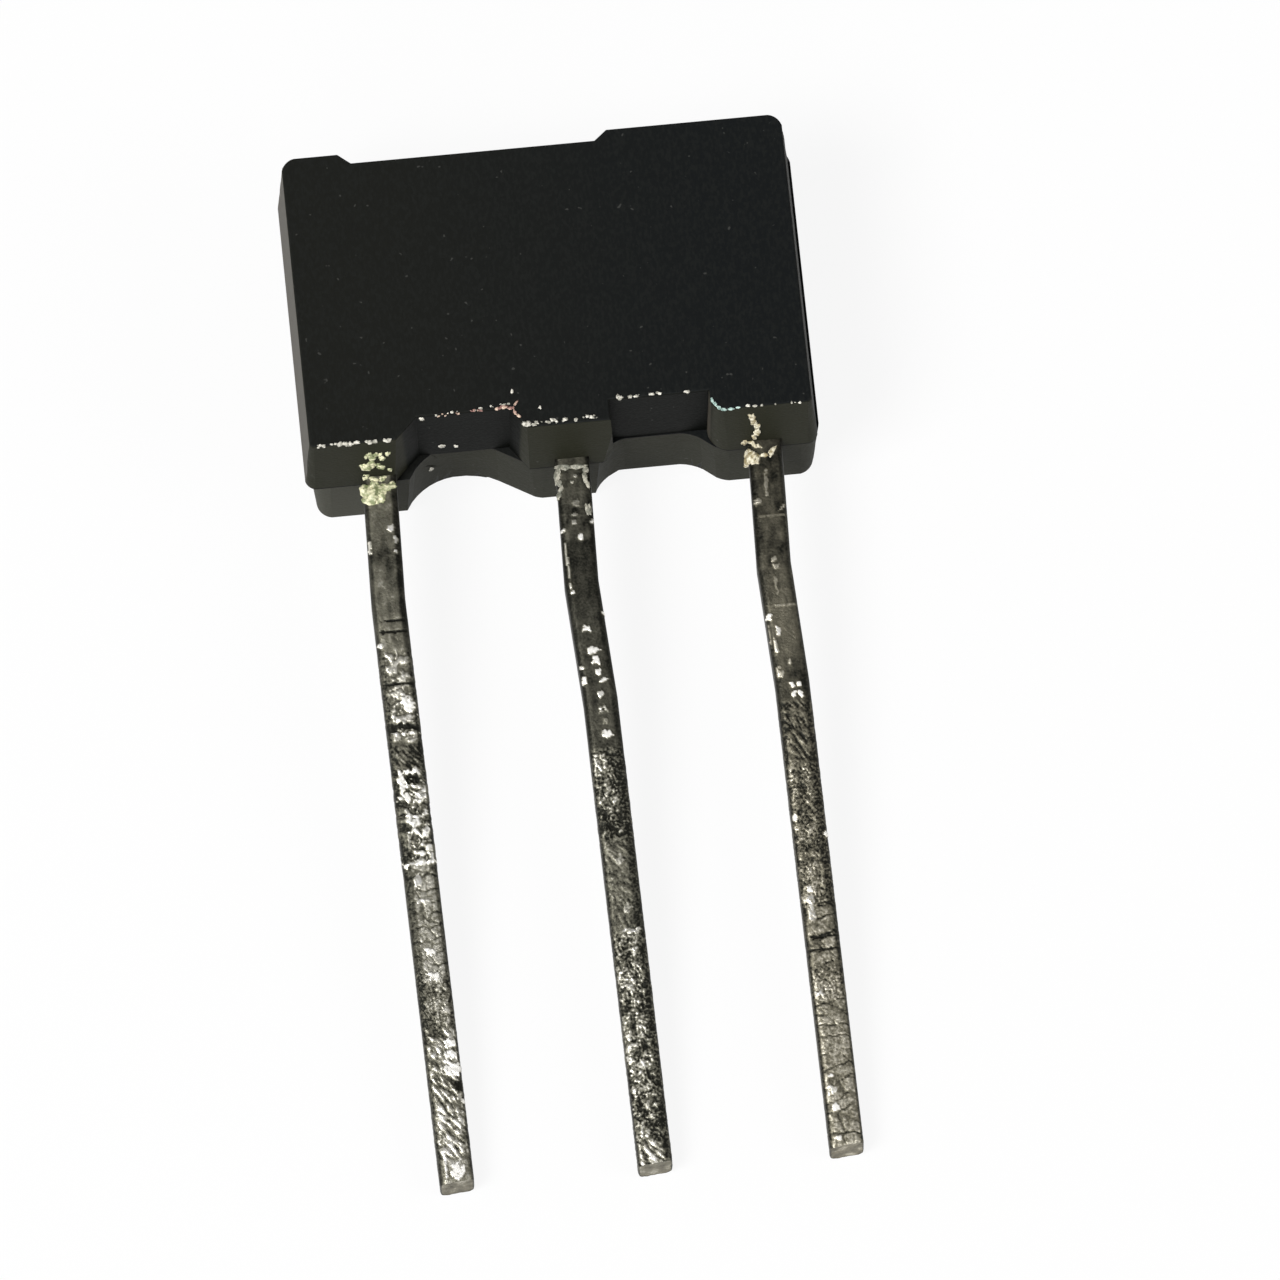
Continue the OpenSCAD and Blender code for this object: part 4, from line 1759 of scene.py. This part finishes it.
@dataclass
class Deposit:
    """Lumps of one kind, stuck where the pixels say."""

    name: str
    slot: str
    finish: Crumb
    lumps: tuple[Lump, ...] = ()
    rows: tuple[Row, ...] = ()
    seed: int = 1
    rough: float = 0.38
    large: float = 9
    least_seen: float = 0.45
    flattening: float = 0.8

    def build(self, ground: Ground) -> bpy.types.Object:
        """Build the lumps and dress them.

        Args:
            ground: What the lumps stick to.

        Returns:
            The piece, which rides on the part.
        """
        chance = random.Random(self.seed)
        every = list(self.lumps)
        for row in self.rows:
            every.extend(row.lumps(chance))
        work = bmesh.new()
        for lump in every:
            self._lump(work, ground, lump, chance.uniform(0, 90))
        mesh = bpy.data.meshes.new(self.name)
        work.to_mesh(mesh)
        work.free()
        mesh.shade_smooth()
        return new_piece(self.name, mesh, self.finish.material(self.name), self.slot)

    def _lump(self, work: bmesh.types.BMesh, ground: Ground, lump: Lump,
              seed: float) -> None:
        """Add one lump, sunk to its middle in what it sticks to.

        Args:
            work: The mesh to add it to.
            ground: What it sticks to.
            lump: Its place and size.
            seed: Where its noise starts.
        """
        place, normal = ground.under(lump.x, lump.y)
        pixel = MM / ground.view.pixels_per_mm
        lean = math.radians(lump.turn)
        along = ground.view.right * math.cos(lean) + ground.view.up * math.sin(lean)
        along = (along - normal * along.dot(normal)).normalized()
        beside = normal.cross(along)
        upright = ground.view.up * math.cos(lean) - ground.view.right * math.sin(lean)
        half_w = lump.wide / 2 * pixel
        half_h = lump.high / 2 * pixel / max(self.least_seen, abs(beside.dot(upright)))
        rise = lump.thick * min(lump.wide, lump.high) * pixel
        level = 4 if max(lump.wide, lump.high) > self.large else 3
        made = bmesh.ops.create_icosphere(work, subdivisions=level, radius=1)
        offset = Vector((seed, seed * 0.7, 0))
        for vertex in made["verts"]:
            way = vertex.co.copy()
            swell = 1 + self.rough * noise.noise(way * 1.4 + offset)
            swell += 0.6 * self.rough * noise.noise(way * 3.7 + offset)
            spot = way * swell
            vertex.co = place + along * spot.x * half_w + beside * spot.y * half_h
            vertex.co += normal * spot.z * rise * self.flattening


def edge_flash() -> Deposit:
    """Describe the chips of flash along the front half's lower edges.

    Returns:
        The deposit.
    """
    lumps = (
        Lump(389, 439.5, 4.5, 3), Lump(367, 441.5, 4, 3), Lump(350, 444.5, 4, 3.5),
        Lump(375, 441.5, 5, 3), Lump(442, 446, 6, 3.5), Lump(456, 446, 4.5, 2.5),
        Lump(431, 469, 5, 4), Lump(527, 424, 9, 6, -8), Lump(534, 424.5, 5, 3),
        Lump(512, 391.5, 3, 4.5), Lump(540, 407.5, 3, 3), Lump(553, 420, 6, 3, 8),
        Lump(576, 420, 3.5, 3.5), Lump(618, 396.5, 4, 4), Lump(621, 397.5, 4, 2.5),
        Lump(636, 396, 5, 2.5), Lump(652, 394, 5, 2.5), Lump(687, 391.5, 6, 3),
        Lump(748, 405.5, 4, 3), Lump(755, 406, 4, 2.5),
    )
    rows = (
        Row((317, 446.5), (393, 439.5), 26, 2.6), Row((523, 424.5), (600, 416), 24, 2.4),
        Row((420, 418.5), (510, 403), 16, 2.0), Row((617, 397.5), (662, 393), 12, 2.0),
        Row((745, 406.5), (800, 401.5), 7, 1.6),
    )
    cream = Crumb((0.78, 0.75, 0.66), (0.30, 0.29, 0.24))
    return Deposit("edge_flash", "epoxy", cream, lumps, rows, 4, 0.62)


def edge_crack() -> Deposit:
    """Describe the split chip at the left pocket's corner.

    Returns:
        The deposit.
    """
    lumps = (
        Lump(498, 408.5, 6, 3, 8), Lump(504, 407, 8, 3.5, 10), Lump(511, 408, 7, 3, 15),
        Lump(516, 403, 7, 2.4, 55), Lump(515, 412, 7, 2.6, -55), Lump(519, 416, 4, 3, -40),
    )
    rows = (Row((436, 416), (512, 407), 14, 1.8),)
    pink = Crumb((0.72, 0.55, 0.42), (0.28, 0.14, 0.12))
    return Deposit("edge_crack", "epoxy", pink, lumps, rows, 9, 0.6)


def corner_flash() -> Deposit:
    """Describe the painted highlight round the right foot's corner: a thin curl of pale
    teal lumps.

    Returns:
        The deposit.
    """
    lumps = (
        Lump(712, 400, 6, 2.6, -70), Lump(715, 404, 6, 3, -52), Lump(719, 407.5, 6, 3.2, -35),
        Lump(724, 409.5, 6, 2.8, -8), Lump(731, 409, 7, 2.4, 4), Lump(738, 407.5, 5, 1.8, 6),
    )
    # Painted highlight: the lumps follow the curve of the corner where the light catches it.
    green = Crumb((0.55, 0.72, 0.66), (0.16, 0.26, 0.23))
    return Deposit("corner_flash", "epoxy", green, lumps, seed=5)


def collar_rim() -> Deposit:
    """Describe the rim of residue round the middle lead's root.

    Returns:
        The deposit.
    """
    lumps = (
        Lump(564, 467.5, 17, 5, 4), Lump(578, 466.5, 17, 4.5, 4), Lump(585.5, 470, 6, 6),
        Lump(557.5, 475, 16, 5, 88), Lump(559.5, 483, 9, 5, -60), Lump(561, 489, 8, 4.5, 70),
        Lump(559, 496, 8, 4, 58), Lump(585, 477, 13, 5, -78), Lump(587.5, 484, 9, 4, -75),
        Lump(572, 482, 4, 3), Lump(588, 511, 15, 5, -85, 0.35),
    )
    rows = (Row((558, 469), (584, 466), 10, 3.0), Row((557, 472), (560, 488), 6, 2.6))
    grey = Crumb((0.46, 0.44, 0.36), (0.20, 0.20, 0.16))
    return Deposit("collar_rim", "tinned_lead", grey, lumps, rows, 6, 0.5)


def left_residue() -> Deposit:
    """Describe the yellow crumbs round the left lead's root.

    Returns:
        The deposit.
    """
    lumps = (
        Lump(371, 495, 18, 20, 80, 0.30), Lump(378, 497, 15, 15, 20, 0.30),
        Lump(381, 490, 16, 12, 15, 0.30), Lump(389, 487, 14, 8, 25, 0.35),
        Lump(374, 485, 10, 8, 0, 0.4), Lump(365, 477.5, 7, 6, 0), Lump(374, 479.5, 9, 5, -10),
        Lump(383, 478, 7, 5, 20), Lump(367, 466, 11, 9, 60), Lump(372, 458, 7, 5, 40),
        Lump(382, 458, 6, 5, 50), Lump(376, 454.5, 5, 4), Lump(387, 454, 4, 4),
        Lump(366, 457, 4, 4),
    )
    rows = (
        Row((365, 455), (390, 453), 12, 3.4), Row((370, 462), (391, 470), 14, 3.0),
        Row((364, 476), (386, 481), 8, 3.0),
    )
    yellow = Crumb((0.80, 0.77, 0.52), (0.24, 0.27, 0.13))
    return Deposit("left_residue", "tinned_lead", yellow, lumps, rows, 7, 0.55)


def right_residue() -> Deposit:
    """Describe the cream crumbs round the right lead's root.

    Returns:
        The deposit.
    """
    lumps = (
        Lump(750, 457, 17, 14, -12, 0.35), Lump(748, 463, 10, 9, 0, 0.4),
        Lump(755, 459, 12, 11, 15, 0.35), Lump(764, 455, 8, 4, 12, 0.4),
        Lump(772, 451.5, 13, 4.5, 62), Lump(753, 420, 4, 11, 0, 0.4), Lump(757, 432, 6, 6, 0),
        Lump(754, 437, 5, 5, 40), Lump(751, 442, 8, 4, -15), Lump(744, 443, 6, 4, 5),
        Lump(755, 446, 6, 4, -30),
    )
    rows = (Row((750, 415), (760, 430), 11, 3.0), Row((744, 441), (762, 447), 10, 3.0))
    cream = Crumb((0.82, 0.77, 0.60), (0.34, 0.28, 0.15))
    return Deposit("right_residue", "tinned_lead", cream, lumps, rows, 8, 0.55)


DEPOSITS = (edge_flash, edge_crack, corner_flash, collar_rim, left_residue, right_residue)


@dataclass(frozen=True)
class Inside:
    """The die, its solder and the bond wires, which keep their nodes."""

    silicon: Inner = Inner((0.16, 0.17, 0.20), (0.07, 0.07, 0.09), 0.3, 0.18, 3.0)
    solder: Inner = Inner((0.42, 0.42, 0.40), (0.22, 0.22, 0.21), 0.9, 0.42, 9.0)
    gold: Inner = Inner((0.86, 0.62, 0.22), (0.62, 0.40, 0.12), 0.95, 0.22, 12.0)

    def dress(self) -> None:
        """Give each node inside the moulding its finish."""
        gold = self.gold.material("bond_gold")
        worn = {
            "silicon_die": self.silicon.material("die_silicon"),
            "die_solder": self.solder.material("die_solder_alloy"),
            "emitter_wire": gold,
            "base_wire": gold,
        }
        for name, material in worn.items():
            mesh = bpy.data.objects[name].data
            mesh.materials.clear()
            mesh.materials.append(material)
            LOG.info("%s: dressed", name)


# Blender takes the vector noise's offsets from the clock, unless a script sets its seed.
NOISE_SEED = 1795456818


def main() -> None:
    """Build the camera, the studio and every piece, in order."""
    logging.basicConfig(level=logging.INFO, format="%(message)s")
    noise.seed_set(NOISE_SEED)
    bpy.context.scene.view_settings.view_transform = "Standard"
    view = Viewpoint()
    view.build()
    Studio().build()
    carriers = [Moulding().build()]
    for lead in (emitter_lead, collector_lead, base_lead):
        carriers.append(lead().build())
    ground = Ground(view, carriers)
    for deposit in DEPOSITS:
        deposit().build(ground)
    Inside().dress()


if __name__ == "__main__":
    main()
